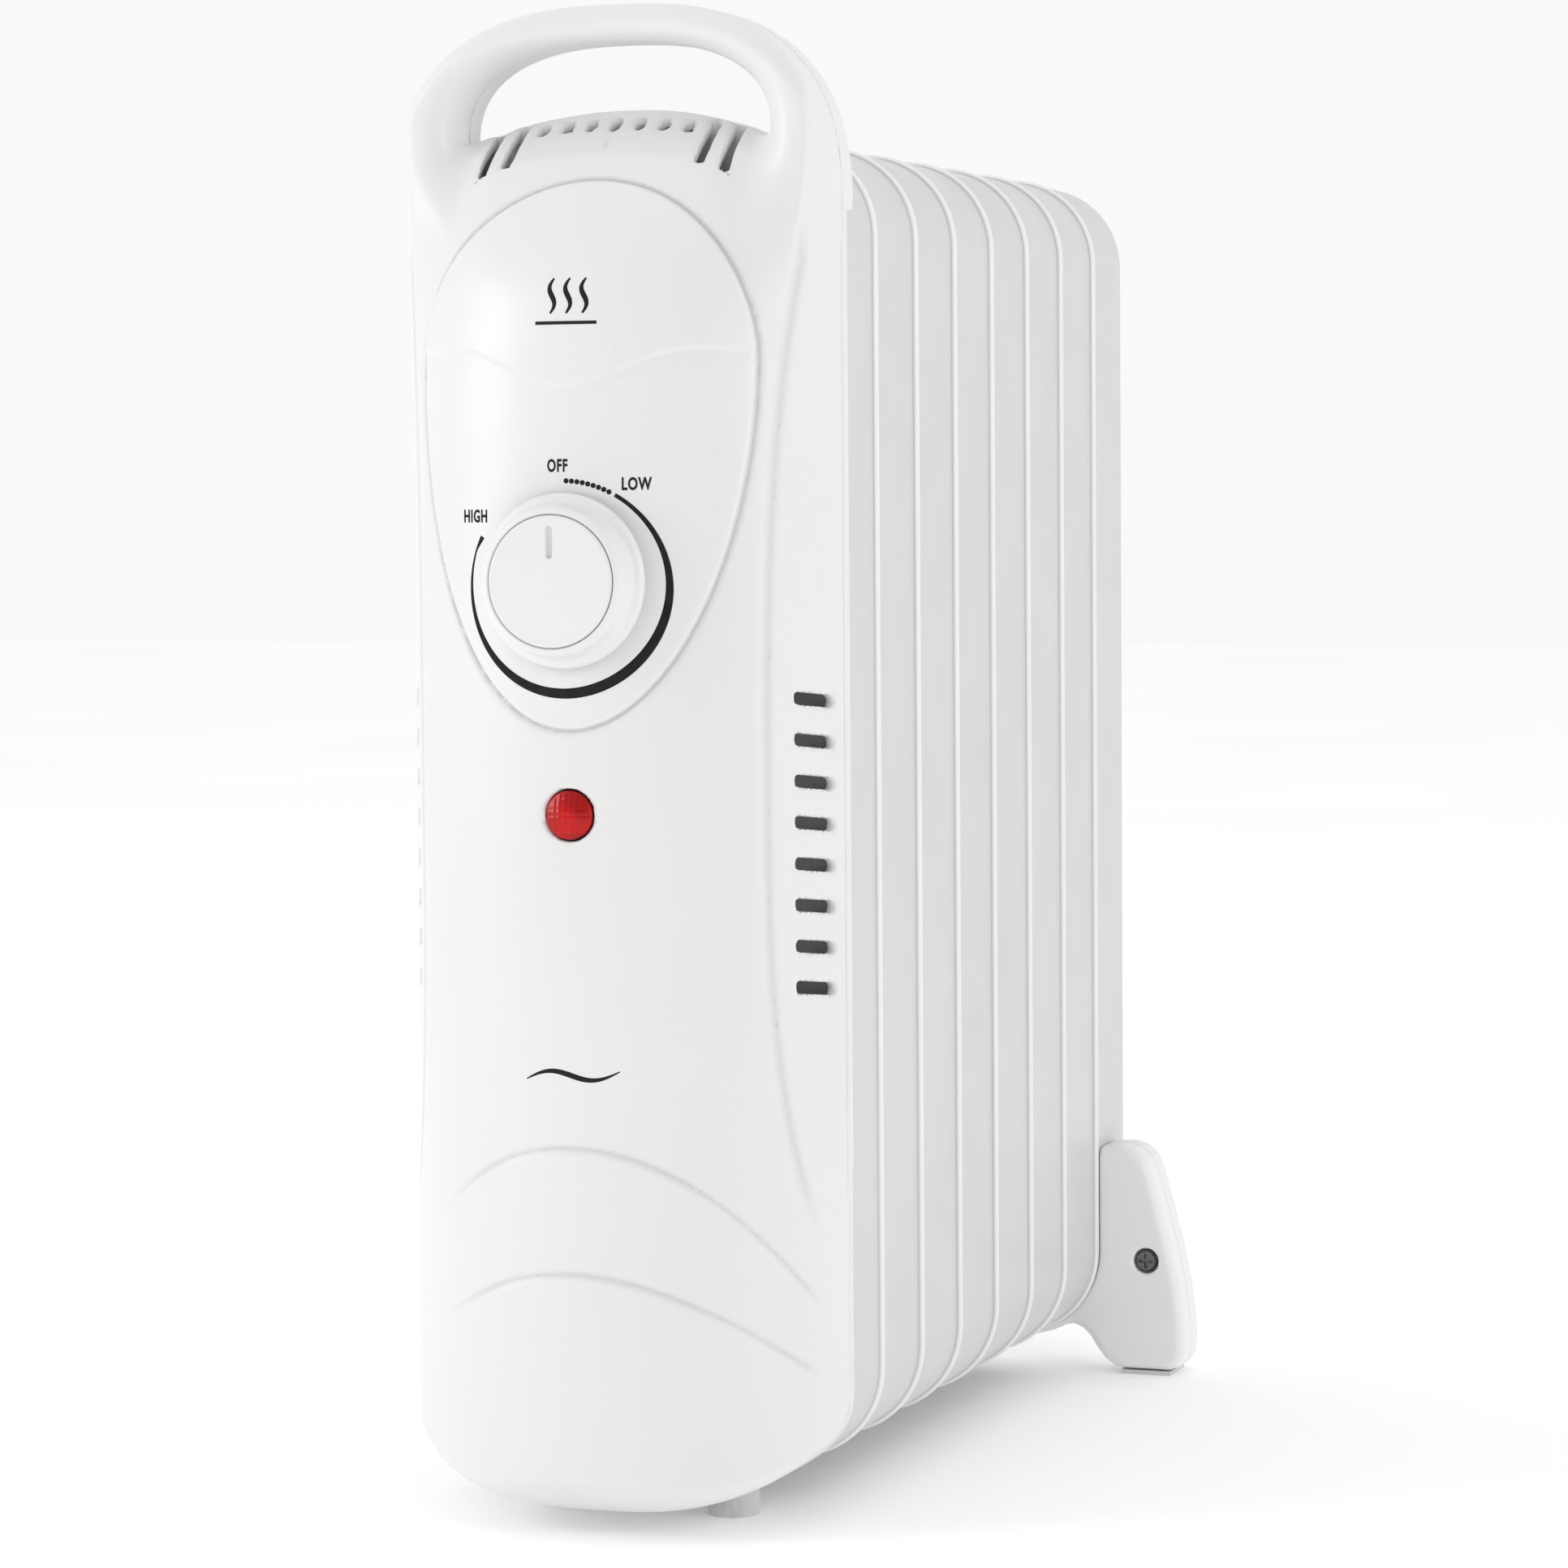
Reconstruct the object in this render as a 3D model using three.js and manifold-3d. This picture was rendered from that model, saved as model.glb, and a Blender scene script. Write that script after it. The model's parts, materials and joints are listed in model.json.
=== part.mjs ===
// Oil filled radiator heater, small seven-element kind.
// Millimetres, +Z up, front toward -Y, floor at z = 0, origin below the middle of the heater.
// Every height in the dimensions and outlines below is above a datum DATUM under the floor.
import * as THREE from 'three';
import { mergeVertices } from 'three/addons/utils/BufferGeometryUtils.js';
import Module from 'manifold-3d';

const wasm = await Module();
wasm.setup();

// ---- driving dimensions ------------------------------------------------------------------
const GAP = 0.3;                 // clearance between pieces that touch
const DATUM = 4.5;               // the floor's height above the datum of all other heights
const RIM_Y = -99.6;             // plane where the front cover meets the back cover
const HOUSING_HALF = 59.1;       // half width of the control housing at its rim
const HOUSING_TOP = 389.2;
const HOUSING_BOTTOM = 9.6;
const FACE_DEPTH = 40;           // how far the middle of the front cover stands ahead of the rim
const WALL = 2.5;

const FINS = 7;
const FIN_PITCH = 32.6;
const FIN_1_Y = -71.6;           // middle plane of the first fin's web
const LAST_Y = FIN_1_Y + (FINS - 1) * FIN_PITCH;
const FLANGE_END = 152.1;        // rear edge of the last fin's flange
const FIN_HALF = 57.4;
const FIN_BOTTOM = 17;
const FIN_TOP = 355;
const FIN_CORNER = 24;
const SHEET = 1.6;
const WEB = 3;
const BEAD = 1;                  // how far the seam bead stands out from the flange
const AIR_GAP_HALF = 34;         // the flanges stop here, so that air rises between the fins
const CHANNEL_X = [-36, -12, 12, 36];
const MANIFOLD_Z = [55, 308];    // heights of the lower and upper oil manifolds
const COLLAR_R = 19;
const BORE_R = 13;

const KNOB_Z = 245;
const LAMP_Z = 187;
const PANEL_Y = RIM_Y - FACE_DEPTH;
const KNOB_RISE = 9.4;           // from the back of the knob's skirt to the seat of its face disc
const COVER_SCREWS = [[-49, 70], [49, 70], [-49, 322], [49, 322]];
const GLAND_Y = -84;             // cable inlet, low on the left of the shroud
const GLAND_Z = 66;

// ---- solid helpers -----------------------------------------------------------------------
function solid(geometry) {
  const g = geometry.index ? geometry.clone() : geometry;
  g.deleteAttribute('normal');
  g.deleteAttribute('uv');
  const merged = mergeVertices(g, 1e-4);
  return new wasm.Manifold(new wasm.Mesh({
    numProp: 3,
    vertProperties: new Float32Array(merged.attributes.position.array),
    triVerts: new Uint32Array(merged.index.array),
  }));
}

const join = (...parts) => parts.reduce((sum, part) => sum.add(part));
const cut = (body, ...tools) => tools.reduce((left, tool) => left.subtract(tool), body);

function outlineOf(points) {
  return new THREE.Shape(points.map(([a, b]) => new THREE.Vector2(a, b)));
}

// A front-view shape (x, z) made solid from yFront back to yBack.
function along(shape, yFront, yBack, curveSegments = 8) {
  const g = new THREE.ExtrudeGeometry(shape, { depth: yBack - yFront, bevelEnabled: false, curveSegments });
  g.rotateX(Math.PI / 2);
  g.translate(0, yBack, 0);
  return solid(g);
}

// A side-view shape (y, z) made solid from x0 to x1.
function across(shape, x0, x1) {
  const g = new THREE.ExtrudeGeometry(shape, { depth: x1 - x0, bevelEnabled: false, curveSegments: 6 });
  g.applyMatrix4(new THREE.Matrix4().makeBasis(
    new THREE.Vector3(0, 1, 0), new THREE.Vector3(0, 0, 1), new THREE.Vector3(1, 0, 0)));
  g.translate(x0, 0, 0);
  return solid(g);
}

function box(x0, x1, y0, y1, z0, z1) {
  const g = new THREE.BoxGeometry(x1 - x0, y1 - y0, z1 - z0);
  g.translate((x0 + x1) / 2, (y0 + y1) / 2, (z0 + z1) / 2);
  return solid(g);
}

// A round bar parallel to Y.
function rod(radius, x, z, y0, y1, segments = 24) {
  const g = new THREE.CylinderGeometry(radius, radius, y1 - y0, segments);
  g.translate(x, (y0 + y1) / 2, z);
  return solid(g);
}

// A turned solid about an axis parallel to Y; the profile is [radius, y] pairs, axis to axis.
function turned(profile, x, z, segments = 32) {
  const rising = profile.at(-1)[1] > profile[0][1] ? profile : [...profile].reverse();
  const points = rising.map(([r, y]) => new THREE.Vector2(r, y));
  const g = new THREE.LatheGeometry(points, segments);
  g.translate(x, 0, z);
  return solid(g);
}

// A round tube of the given radius along a smooth curve through the points.
function tube(points, radius, steps) {
  const path = new THREE.CatmullRomCurve3(points.map((p) => new THREE.Vector3(...p)));
  const ring = new THREE.Shape().absarc(0, 0, radius, 0, 2 * Math.PI);
  const options = { steps, extrudePath: path, bevelEnabled: false, curveSegments: 4 };
  return solid(new THREE.ExtrudeGeometry(ring, options));
}

function roundedRect(half, bottom, top, radius) {
  const shape = new THREE.Shape();
  shape.absarc(half - radius, bottom + radius, radius, -Math.PI / 2, 0);
  shape.absarc(half - radius, top - radius, radius, 0, Math.PI / 2);
  shape.absarc(-half + radius, top - radius, radius, Math.PI / 2, Math.PI);
  shape.absarc(-half + radius, bottom + radius, radius, Math.PI, 1.5 * Math.PI);
  return shape;
}

// ---- control housing ---------------------------------------------------------------------
// Half width of the housing outline: straight sides with a round-shouldered top and bottom.
const TOP_START = 335;
const BOTTOM_START = 39;
const SIDE_ROWS = [63, 97, 131, 165, 199, 233, 267, 301, 313, 324];

function housingOutline(inset) {
  const half = HOUSING_HALF - inset;
  const points = [];
  const quarter = 9;
  const arc = (centre, height, power, from) => {
    for (let i = 0; i <= 2 * quarter; i += 1) {
      const t = from + (i / quarter) * (Math.PI / 2);
      const [c, s] = [Math.cos(t), Math.sin(t)];
      points.push([
        half * Math.sign(c) * Math.abs(c) ** (2 / power),
        centre + height * Math.sign(s) * Math.abs(s) ** (2 / power),
      ]);
    }
  };
  arc(TOP_START, HOUSING_TOP - TOP_START - inset, 2.65, 0);
  for (const z of [...SIDE_ROWS].reverse()) points.push([-half, z]);
  arc(BOTTOM_START, BOTTOM_START - HOUSING_BOTTOM - inset, 2.1, Math.PI);
  for (const z of SIDE_ROWS) points.push([half, z]);
  return points;
}

// How far the front cover stands ahead of its rim at (x, z); edge is the distance in from the outline.
function faceDepth(x, z, edge) {
  const away = Math.min(1.05, Math.abs(z - LAMP_Z) / (z > LAMP_Z ? 130 : 107));
  const crown = (half) => (1 + 0.24 * away ** 2) * (78 - Math.sqrt(78 ** 2 - half ** 2));
  const shoulder = 13 + (FACE_DEPTH - 13) / (1 + Math.exp((z - 332) / 9.5));
  const face = shoulder - crown(x) * ((shoulder - 13) / (FACE_DEPTH - 13));
  const crease = Math.min(55.5, 46.5 + (z > LAMP_Z ? 5.3 : 8.7) * away ** 3);
  const creaseDepth = FACE_DEPTH - crown(crease);
  const band = (creaseDepth / (HOUSING_HALF - crease)) * (HOUSING_HALF - Math.abs(x));
  const roll = z > TOP_START ? 9 : 24;
  const reach = Math.min(1, Math.max(0, 1 - edge / roll));
  const rounded = (z > TOP_START ? 14 : FACE_DEPTH) * Math.sqrt(1 - reach ** 2);
  const nearEnd = z > TOP_START || z < BOTTOM_START ? rounded : Infinity;
  return Math.min(face, band + (z > TOP_START ? 4 : 0) * Math.min(1, edge), nearEnd);
}

// The space between the rim plane and the front surface, sunk by `sink` and taken in by `inset`.
function coverSolid(inset, sink) {
  const rim = housingOutline(inset);
  const rings = [1, 0.98, 0.94, 0.88, 0.78, 0.55, 0.28, 0];
  const positions = [];
  for (const fraction of rings) {
    for (const [x, z] of rim) {
      const spine = Math.min(TOP_START, Math.max(BOTTOM_START, z));
      const px = x * fraction;
      const pz = spine + (z - spine) * fraction;
      const edge = inset + (1 - fraction) * Math.hypot(x, z - spine);
      const depth = fraction === 1 ? 0 : Math.max(0.05, faceDepth(px, pz, edge) - sink);
      positions.push(px, RIM_Y - depth, pz);
    }
  }
  const backStart = positions.length / 3;
  for (const [, z] of rim) {
    positions.push(0, RIM_Y, Math.min(TOP_START, Math.max(BOTTOM_START, z)));
  }
  const index = [];
  const n = rim.length;
  const quad = (a, b, c, d) => index.push(a, c, b, a, d, c);
  for (let i = 0; i < n; i += 1) {
    const j = (i + 1) % n;
    for (let r = 0; r + 1 < rings.length; r += 1) {
      quad(r * n + i, (r + 1) * n + i, (r + 1) * n + j, r * n + j);
    }
    quad(i, j, backStart + j, backStart + i);
  }
  const g = new THREE.BufferGeometry();
  g.setAttribute('position', new THREE.Float32BufferAttribute(positions, 3));
  g.setIndex(index);
  const merged = mergeVertices(g, 1e-4);
  const tri = merged.index.array;
  const kept = [];
  for (let i = 0; i < tri.length; i += 3) {
    const [a, b, c] = tri.slice(i, i + 3);
    if (a !== b && b !== c && c !== a) kept.push(a, b, c);
  }
  merged.setIndex(kept);
  return solid(merged);
}

// Hand hole under the fixed handle: arched above, crowned below. With a floor, it runs down to there.
function handHole(grow, floor) {
  const half = 41 + grow;
  const corner = 355.2 - grow;
  const points = [];
  for (let i = 0; i <= 16; i += 1) {
    const t = (i / 16) * Math.PI;
    const c = Math.cos(t);
    points.push([half * Math.sign(c) * Math.abs(c) ** 0.8, corner + (23.3 + 2 * grow) * Math.sin(t) ** 0.8]);
  }
  if (floor) return outlineOf([...points, [-half, floor], [half, floor]]);
  for (let i = 1; i < 8; i += 1) {
    const share = -1 + i / 4;
    points.push([half * share, corner + 5.6 * (1 - share ** 2)]);
  }
  return outlineOf(points);
}

// Space above the box's rounded shoulder, between the limbs of the handle.
function shoulderScoop(grow) {
  const profile = [[-44, 328], [-26, 334], [-20, 341], [-14, 347.5], [-8, 352.5], [-2, 356.2], [3, 358],
    [16, 360.5], [16, 384], [-44, 384]];
  const half = 41 + grow;
  return across(outlineOf(profile.map(([y, z]) => [RIM_Y + y, z - grow])), -half, half)
    .intersect(along(handHole(grow, 320), RIM_Y - 60, RIM_Y + 20));
}

// Eleven vent slots over the shoulder, the outer two on each side longer.
function topVents() {
  const slots = [];
  for (let i = -5; i <= 5; i += 1) {
    const x = i * 6.5;
    const front = Math.abs(i) > 3 ? 12 : 4;
    slots.push(box(x - 1.4, x + 1.4, RIM_Y - front, RIM_Y + 5, 343, 366));
  }
  return join(...slots);
}

// Eight vent slots low on each side band.
function sideVents() {
  const slots = [];
  for (let i = 0; i < 8; i += 1) {
    const z = 214.7 - i * 10.3;
    for (const side of [-1, 1]) {
      const [x0, x1] = side < 0 ? [-64, -46] : [46, 64];
      slots.push(box(x0, x1, RIM_Y - 15.5, RIM_Y - 4, z - 1.65, z + 1.65));
    }
  }
  return join(...slots);
}

// Egg-shaped outline of the inlaid control panel, wide end up.
function eggShape(grow) {
  const points = [];
  for (let i = 0; i < 36; i += 1) {
    const t = (i / 36) * 2 * Math.PI;
    const height = Math.sin(t) > 0 ? 46.4 : 90.2;
    points.push([(44.6 + grow) * Math.cos(t), 298 + (height + grow) * Math.sin(t)]);
  }
  return outlineOf(points);
}

function frontCover(outer, inner) {
  const holeWall = along(handHole(WALL), RIM_Y - 60, RIM_Y);
  let cover = cut(outer, cut(inner, holeWall, shoulderScoop(WALL)));
  for (const [x, z] of COVER_SCREWS) {
    cover = cover.add(rod(4, x, z, RIM_Y - 40, RIM_Y, 16).intersect(outer));
  }
  const recess = cut(along(eggShape(0.3), RIM_Y - 60, RIM_Y - 1), coverSolid(0, 1.8));
  const hole = along(handHole(0), RIM_Y - 60, RIM_Y + 1);
  cover = cut(cover, hole, shoulderScoop(0), topVents(), sideVents(), recess);
  for (const [x, z] of COVER_SCREWS) {
    cover = cover.subtract(rod(1.9, x, z, RIM_Y - 13, RIM_Y + 1, 12));
  }
  return cut(cover, rod(5, 0, KNOB_Z, RIM_Y - 60, RIM_Y), rod(6.6, 0, LAMP_Z, RIM_Y - 60, RIM_Y));
}

function controlPanel(outer) {
  const skin = cut(outer, coverSolid(0, 1.5));
  return cut(
    skin.intersect(along(eggShape(0), RIM_Y - 60, RIM_Y - 1)),
    shoulderScoop(0),
    rod(5, 0, KNOB_Z, RIM_Y - 60, RIM_Y),
    rod(6.6, 0, LAMP_Z, RIM_Y - 60, RIM_Y),
  );
}

function backCover() {
  const front = RIM_Y + GAP;
  const rim = outlineOf(housingOutline(0));
  const handleRear = cut(
    along(rim, front, RIM_Y + 14).intersect(box(-70, 70, RIM_Y, RIM_Y + 20, 330, 400)),
    along(roundedRect(FIN_HALF + 1.6, FIN_BOTTOM - 2, FIN_TOP + 0.8, FIN_CORNER + 1), RIM_Y, RIM_Y + 20, 3),
  );
  let cover = join(along(rim, front, front + WALL), handleRear);
  cover = cut(cover, along(handHole(0), RIM_Y - 1, RIM_Y + 20), shoulderScoop(0), topVents());
  cover = cut(cover, box(-26, 26, RIM_Y, RIM_Y + 5, 32, 66), box(-30, 30, RIM_Y, RIM_Y + 5, 118, 300));
  for (const [x, z] of COVER_SCREWS) {
    cover = cover.subtract(rod(1.9, x, z, RIM_Y - 1, RIM_Y + 5, 12));
  }
  return cover;
}

// Cross-head screw parallel to Y: head from yHead, shank pointing the way `toward` (+1 or -1).
function screw(x, z, yHead, toward, headR, headLength, shankR, length) {
  const y = (d) => yHead + toward * d;
  const profile = [[0, y(0)], [headR * 0.8, y(0)], [headR, y(headLength * 0.5)], [headR, y(headLength)],
    [shankR, y(headLength)], [shankR, y(headLength + length)], [0, y(headLength + length)]];
  const body = turned(profile, x, z, 12);
  const [y0, y1] = toward > 0 ? [yHead - 1, yHead + 0.9] : [yHead - 0.9, yHead + 1];
  const arm = headR * 0.62;
  const slot = box(x - arm, x + arm, y0, y1, z - 0.5, z + 0.5);
  return cut(body, slot, box(x - 0.5, x + 0.5, y0, y1, z - arm, z + arm));
}

// ---- knob, thermostat and lamp -----------------------------------------------------------
function knob() {
  const back = PANEL_Y - 0.6;
  const seat = back - KNOB_RISE;
  const body = turned([[0, back], [13, back], [13, back - 1.3], [21.2, back - 1.3], [21.2, back - 2.8],
    [19.4, back - 4], [18.3, seat - 0.7], [17.2, seat - 1.4], [15.6, seat - 1.4], [15.6, seat], [0, seat]],
    0, KNOB_Z, 40);
  const hollow = turned([[0, back + 1], [12, back + 1], [12, back - 2], [6, back - 2.4], [6, back - 7],
    [0, back - 7]], 0, KNOB_Z, 24);
  return cut(body, hollow, rod(3.3, 0, KNOB_Z, seat + 0.7, back));
}

// The knob's face is its own disc with a pointer groove.
function knobFace() {
  const back = PANEL_Y - 0.6 - KNOB_RISE - GAP;
  const disc = turned([[0, back], [15.2, back], [15.2, back - 1.6], [14.4, back - 2.2], [0, back - 2.2]],
    0, KNOB_Z, 40);
  return disc.subtract(box(-0.9, 0.9, back - 3, back - 1.4, KNOB_Z + 5.5, KNOB_Z + 13));
}

function thermostatBracket() {
  const plate = join(box(-22, 22, -129.5, -128, 232, 258), box(-22, -20, -129.5, -122, 232, 258),
    box(20, 22, -129.5, -122, 232, 258));
  return cut(plate, rod(4.6, 0, KNOB_Z, -131, -127), rod(1.8, 15, KNOB_Z, -131, -127, 12),
    rod(1.8, -15, KNOB_Z, -131, -127, 12));
}

function thermostatBody() {
  const ceramic = along(roundedRect(12, 231, 259, 3), -127.7, -113.7, 4);
  return cut(ceramic, rod(3.5, 0, KNOB_Z, -129, -112, 20));
}

function thermostatSpindle() {
  const shaft = rod(3, 0, KNOB_Z, -148.2, -118.2, 24);
  const collar = rod(3.2, 0, KNOB_Z, -127, -120, 24);
  return cut(join(shaft, collar), box(-4, 4, -150, -140.5, KNOB_Z + 2, KNOB_Z + 4));
}

function pushPin() {
  return join(rod(2.4, 0, KNOB_Z, -117.8, -110, 16), rod(1.4, 0, KNOB_Z, -110, -106.9, 16));
}

function contactBlade() {
  return join(box(-4, 4, -106, -105.4, 228, 262), box(-4, 4, -113.4, -105.4, 228, 231.5));
}

function bimetalStrip() {
  return join(box(6, 11, -108, -107.2, 238, 268), box(6, 11, -113.4, -107.2, 252, 256));
}

function lampLens() {
  const y = PANEL_Y;
  const profile = [[0, y + 3], [6.2, y + 3], [6.2, y + 0.6], [5.4, y - 0.4], [3, y - 1], [0, y - 1.2]];
  return turned(profile, 0, LAMP_Z, 12);
}

function lampBody() {
  const y = PANEL_Y + 3 + GAP;
  const tab = (x) => box(x - 0.3, x + 0.3, y + 16, y + 21, LAMP_Z - 1.2, LAMP_Z + 1.2);
  return join(rod(6, 0, LAMP_Z, y, y + 3, 20), rod(4.6, 0, LAMP_Z, y + 3, y + 16, 20), tab(-2.5), tab(2.5));
}

// ---- oil-filled body ---------------------------------------------------------------------
function flangeRing(half, bottom, top, radius, sheet, yFront, yBack) {
  return cut(
    along(roundedRect(half, bottom, top, radius), yFront, yBack, 3),
    along(roundedRect(half - sheet, bottom + sheet, top - sheet, radius - sheet), yFront - 1, yBack + 1, 3),
  );
}

// Rounded bar in the front view, for pressed oil channels.
function channel(x0, x1, z0, z1) {
  const r = Math.min(x1 - x0, z1 - z0) / 2;
  const shape = new THREE.Shape();
  if (z1 - z0 > x1 - x0) {
    shape.absarc(x0 + r, z1 - r, r, 0, Math.PI);
    shape.absarc(x0 + r, z0 + r, r, Math.PI, 2 * Math.PI);
  } else {
    shape.absarc(x1 - r, z0 + r, r, -Math.PI / 2, Math.PI / 2);
    shape.absarc(x0 + r, z0 + r, r, Math.PI / 2, 1.5 * Math.PI);
  }
  return shape;
}

function fin(k) {
  const y = FIN_1_Y + k * FIN_PITCH;
  const last = k === FINS - 1;
  const web = along(roundedRect(FIN_HALF + BEAD, FIN_BOTTOM - BEAD, FIN_TOP + BEAD, FIN_CORNER + BEAD),
    y - WEB / 2, y + WEB / 2, 3);
  const end = last ? FLANGE_END : y + FIN_PITCH - WEB / 2 - 1;
  const flange = cut(
    flangeRing(FIN_HALF, FIN_BOTTOM, FIN_TOP, FIN_CORNER, SHEET, y, end),
    box(-AIR_GAP_HALF, AIR_GAP_HALF, y + WEB / 2, end + 1, 0, 60),
    box(-AIR_GAP_HALF, AIR_GAP_HALF, y + WEB / 2, end + 1, 300, 400),
  );
  const reach = FIN_PITCH / 2 - GAP / 2;
  const parts = [web, flange];
  for (const x of CHANNEL_X) parts.push(along(channel(x - 7.5, x + 7.5, 64, 300), y - 5, y + 5, 2));
  for (const z of MANIFOLD_Z) {
    parts.push(along(channel(-46, 46, z - 13, z + 13), y - 5.6, y + 5.6, 3));
    const front = k === 0 && z === MANIFOLD_Z[1] ? 8 : reach;
    parts.push(rod(COLLAR_R, 0, z, y - front, y + (last ? 11 : reach), 16));
  }
  let body = join(...parts);
  for (const z of MANIFOLD_Z) {
    const closedFront = k === 0 && z === MANIFOLD_Z[1];
    body = body.subtract(rod(BORE_R, 0, z, y - (closedFront ? 3 : 20), y + (last ? 3 : 20), 12));
  }
  return last ? body.subtract(rod(5.3, 0, MANIFOLD_Z[1], y, y + 20, 20)) : body;
}

function oilFillerPlug() {
  const y = LAST_Y + 11 + GAP;
  return join(rod(5, 0, MANIFOLD_Z[1], y - 7, y, 20), rod(8.5, 0, MANIFOLD_Z[1], y, y + 2, 24),
    rod(6.4, 0, MANIFOLD_Z[1], y + 2, y + 6, 6));
}

// Painted sheet ring that closes the space between the back cover and the first fin.
function steelShroud() {
  const front = RIM_Y + GAP + WALL + GAP;
  const back = FIN_1_Y - WEB / 2 - GAP;
  const ring = flangeRing(FIN_HALF, FIN_BOTTOM, FIN_TOP, FIN_CORNER, 1.2, front, back);
  const bore = new THREE.CylinderGeometry(7.3, 7.3, 20, 24);
  bore.rotateZ(Math.PI / 2);
  bore.translate(-FIN_HALF, GLAND_Y, GLAND_Z);
  return cut(ring, box(-24, 24, front + 6, back - 6, 0, 40), solid(bore));
}

// ---- heating element and wiring ----------------------------------------------------------
const ELEMENT_Z = MANIFOLD_Z[0];
const SEAT_Y = FIN_1_Y - FIN_PITCH / 2 + GAP / 2;   // front end of the first fin's lower collar

function elementGasket() {
  const back = SEAT_Y - GAP;
  const disc = rod(17.5, 0, ELEMENT_Z, back - 1, back, 28);
  return disc.subtract(rod(BORE_R, 0, ELEMENT_Z, back - 2, back + 1, 28));
}

function heatingElement() {
  const back = SEAT_Y - GAP - 1 - GAP;
  const head = join(rod(18, 0, ELEMENT_Z, back - 3, back, 6), rod(9, 0, ELEMENT_Z, back - 5, back - 3, 24));
  const far = LAST_Y - 12;
  const hairpin = tube([[-6, back - 1, ELEMENT_Z], [-6, 0, ELEMENT_Z], [-6, far - 8, ELEMENT_Z],
    [0, far, ELEMENT_Z], [6, far - 8, ELEMENT_Z], [6, 0, ELEMENT_Z], [6, back - 1, ELEMENT_Z]], 3.4, 20);
  const blade = (x) => box(x - 0.5, x + 0.5, back - 10, back - 4, ELEMENT_Z - 3, ELEMENT_Z + 3);
  return join(head, hairpin, blade(-5), blade(5));
}

function terminalBlock() {
  const block = box(-18, 18, -113, RIM_Y - 0.05, 82, 98);
  return cut(block, ...[-12, 0, 12].map((x) => rod(2.6, x, 90, -114, -108, 12)));
}

function leadWire(side) {
  const run = [[5, -106, 78], [6, -105.5, 70], [7.5, -104.5, 62], [8, -103.5, ELEMENT_Z]];
  return tube(run.map(([x, y, z]) => [side * x, y, z]), 1.3, 10);
}

function cableGland() {
  const profile = [[5, 0], [9.5, 0], [9.5, 2.5], [7.8, 5.5], [5, 5.5], [5, 0]];
  const outer = new THREE.LatheGeometry(profile.map(([r, h]) => new THREE.Vector2(r, h)), 16);
  outer.rotateZ(Math.PI / 2);
  outer.translate(-FIN_HALF - GAP, GLAND_Y, GLAND_Z);
  const neck = new THREE.LatheGeometry([[5, 0], [6.9, 0], [6.9, 7], [5, 7], [5, 0]]
    .map(([r, h]) => new THREE.Vector2(r, h)), 16);
  neck.rotateZ(Math.PI / 2);
  neck.translate(-FIN_HALF + 6, GLAND_Y, GLAND_Z);
  return solid(outer).add(solid(neck));
}

function thermalCutout() {
  const y = FIN_1_Y - 5 - GAP;
  const tab = (x) => box(x - 0.4, x + 0.4, y - 11, y - 5, 197, 203);
  return join(rod(7.6, 12, 200, y - 6, y, 20), tab(7), tab(17));
}

function cutoutClip() {
  const y = FIN_1_Y - 5 - GAP;
  const band = cut(rod(9.2, 12, 200, y - 4, y, 20), rod(7.9, 12, 200, y - 5, y + 1, 20));
  return join(band, box(20, 27, y - 1, y, 196, 204));
}

function earthScrew() {
  return screw(-12, 140, FIN_1_Y - 5 - GAP - 4, 1, 4, 2.4, 1.8, 1.4);
}

// ---- feet --------------------------------------------------------------------------------
const FOOT_FRONT = LAST_Y + 2.4;
const FOOT_SPLIT = FOOT_FRONT + 9;
const FOOT_BACK = FOOT_FRONT + 18.6;
const FOOT_BOLT = [72, 38.5];
const FOOT_SOLE = DATUM + 1.5;
const FOOT_BAR = [33.6, 14.4, 22];   // half width, bottom and top of the bar inside the last fin's air gap

// Front view of the right half of the rear foot: a flared leg, and a thin lip under the fin's corner.
const FOOT_HALF = [
  [0, 17], [29, 17], [33, 14.4], [38, 14.8], [43, 16.2], [47, 18], [49.5, 18.4], [52, 17.4],
  [54.2, 15.4], [56.6, 11.6], [59, 8.6], [61.8, 6.6], [65, FOOT_SOLE], [78.4, FOOT_SOLE], [81.2, 7],
  [82.8, 9.4], [83.5, 13.5], [83.2, 20], [81.9, 31], [79.4, 43], [76.2, 55], [73.8, 64], [71.8, 68.6],
  [68.6, 71.4], [64.5, 72.4], [59, 71.8], [50, 71],
];

function footHalf(yFront, yBack) {
  const clear = 0.4;
  const left = FOOT_HALF.slice(1).reverse().map(([x, z]) => [-x, z]);
  const wrap = roundedRect(FIN_HALF + clear, FIN_BOTTOM - clear, FIN_TOP, FIN_CORNER + clear);
  const [half, low, high] = FOOT_BAR;
  const bar = outlineOf([[-half, high], [-half, low], [-29, 17], [29, 17], [half, low], [half, high]]);
  const whole = along(outlineOf([...FOOT_HALF, ...left]), yFront, yBack);
  const legs = cut(whole, along(wrap, yFront - 1, yBack + 1, 3));
  return cut(
    join(legs, along(bar, yFront, yBack)),
    ...[-1, 1].map((side) => rod(2.2, side * FOOT_BOLT[0], FOOT_BOLT[1], yFront - 1, yBack + 1, 16)),
    ...[-1, 1].map((side) => rod(3.8, side * FOOT_BOLT[0], FOOT_BOLT[1], FOOT_FRONT - 1, FOOT_FRONT + 3, 20)),
  );
}

// The foot's clamping screws, their heads sunk in the front half.
function footScrew(side) {
  return screw(side * FOOT_BOLT[0], FOOT_BOLT[1], FOOT_FRONT + 0.4, 1, 3.4, 2.2, 1.9, 14);
}

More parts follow.
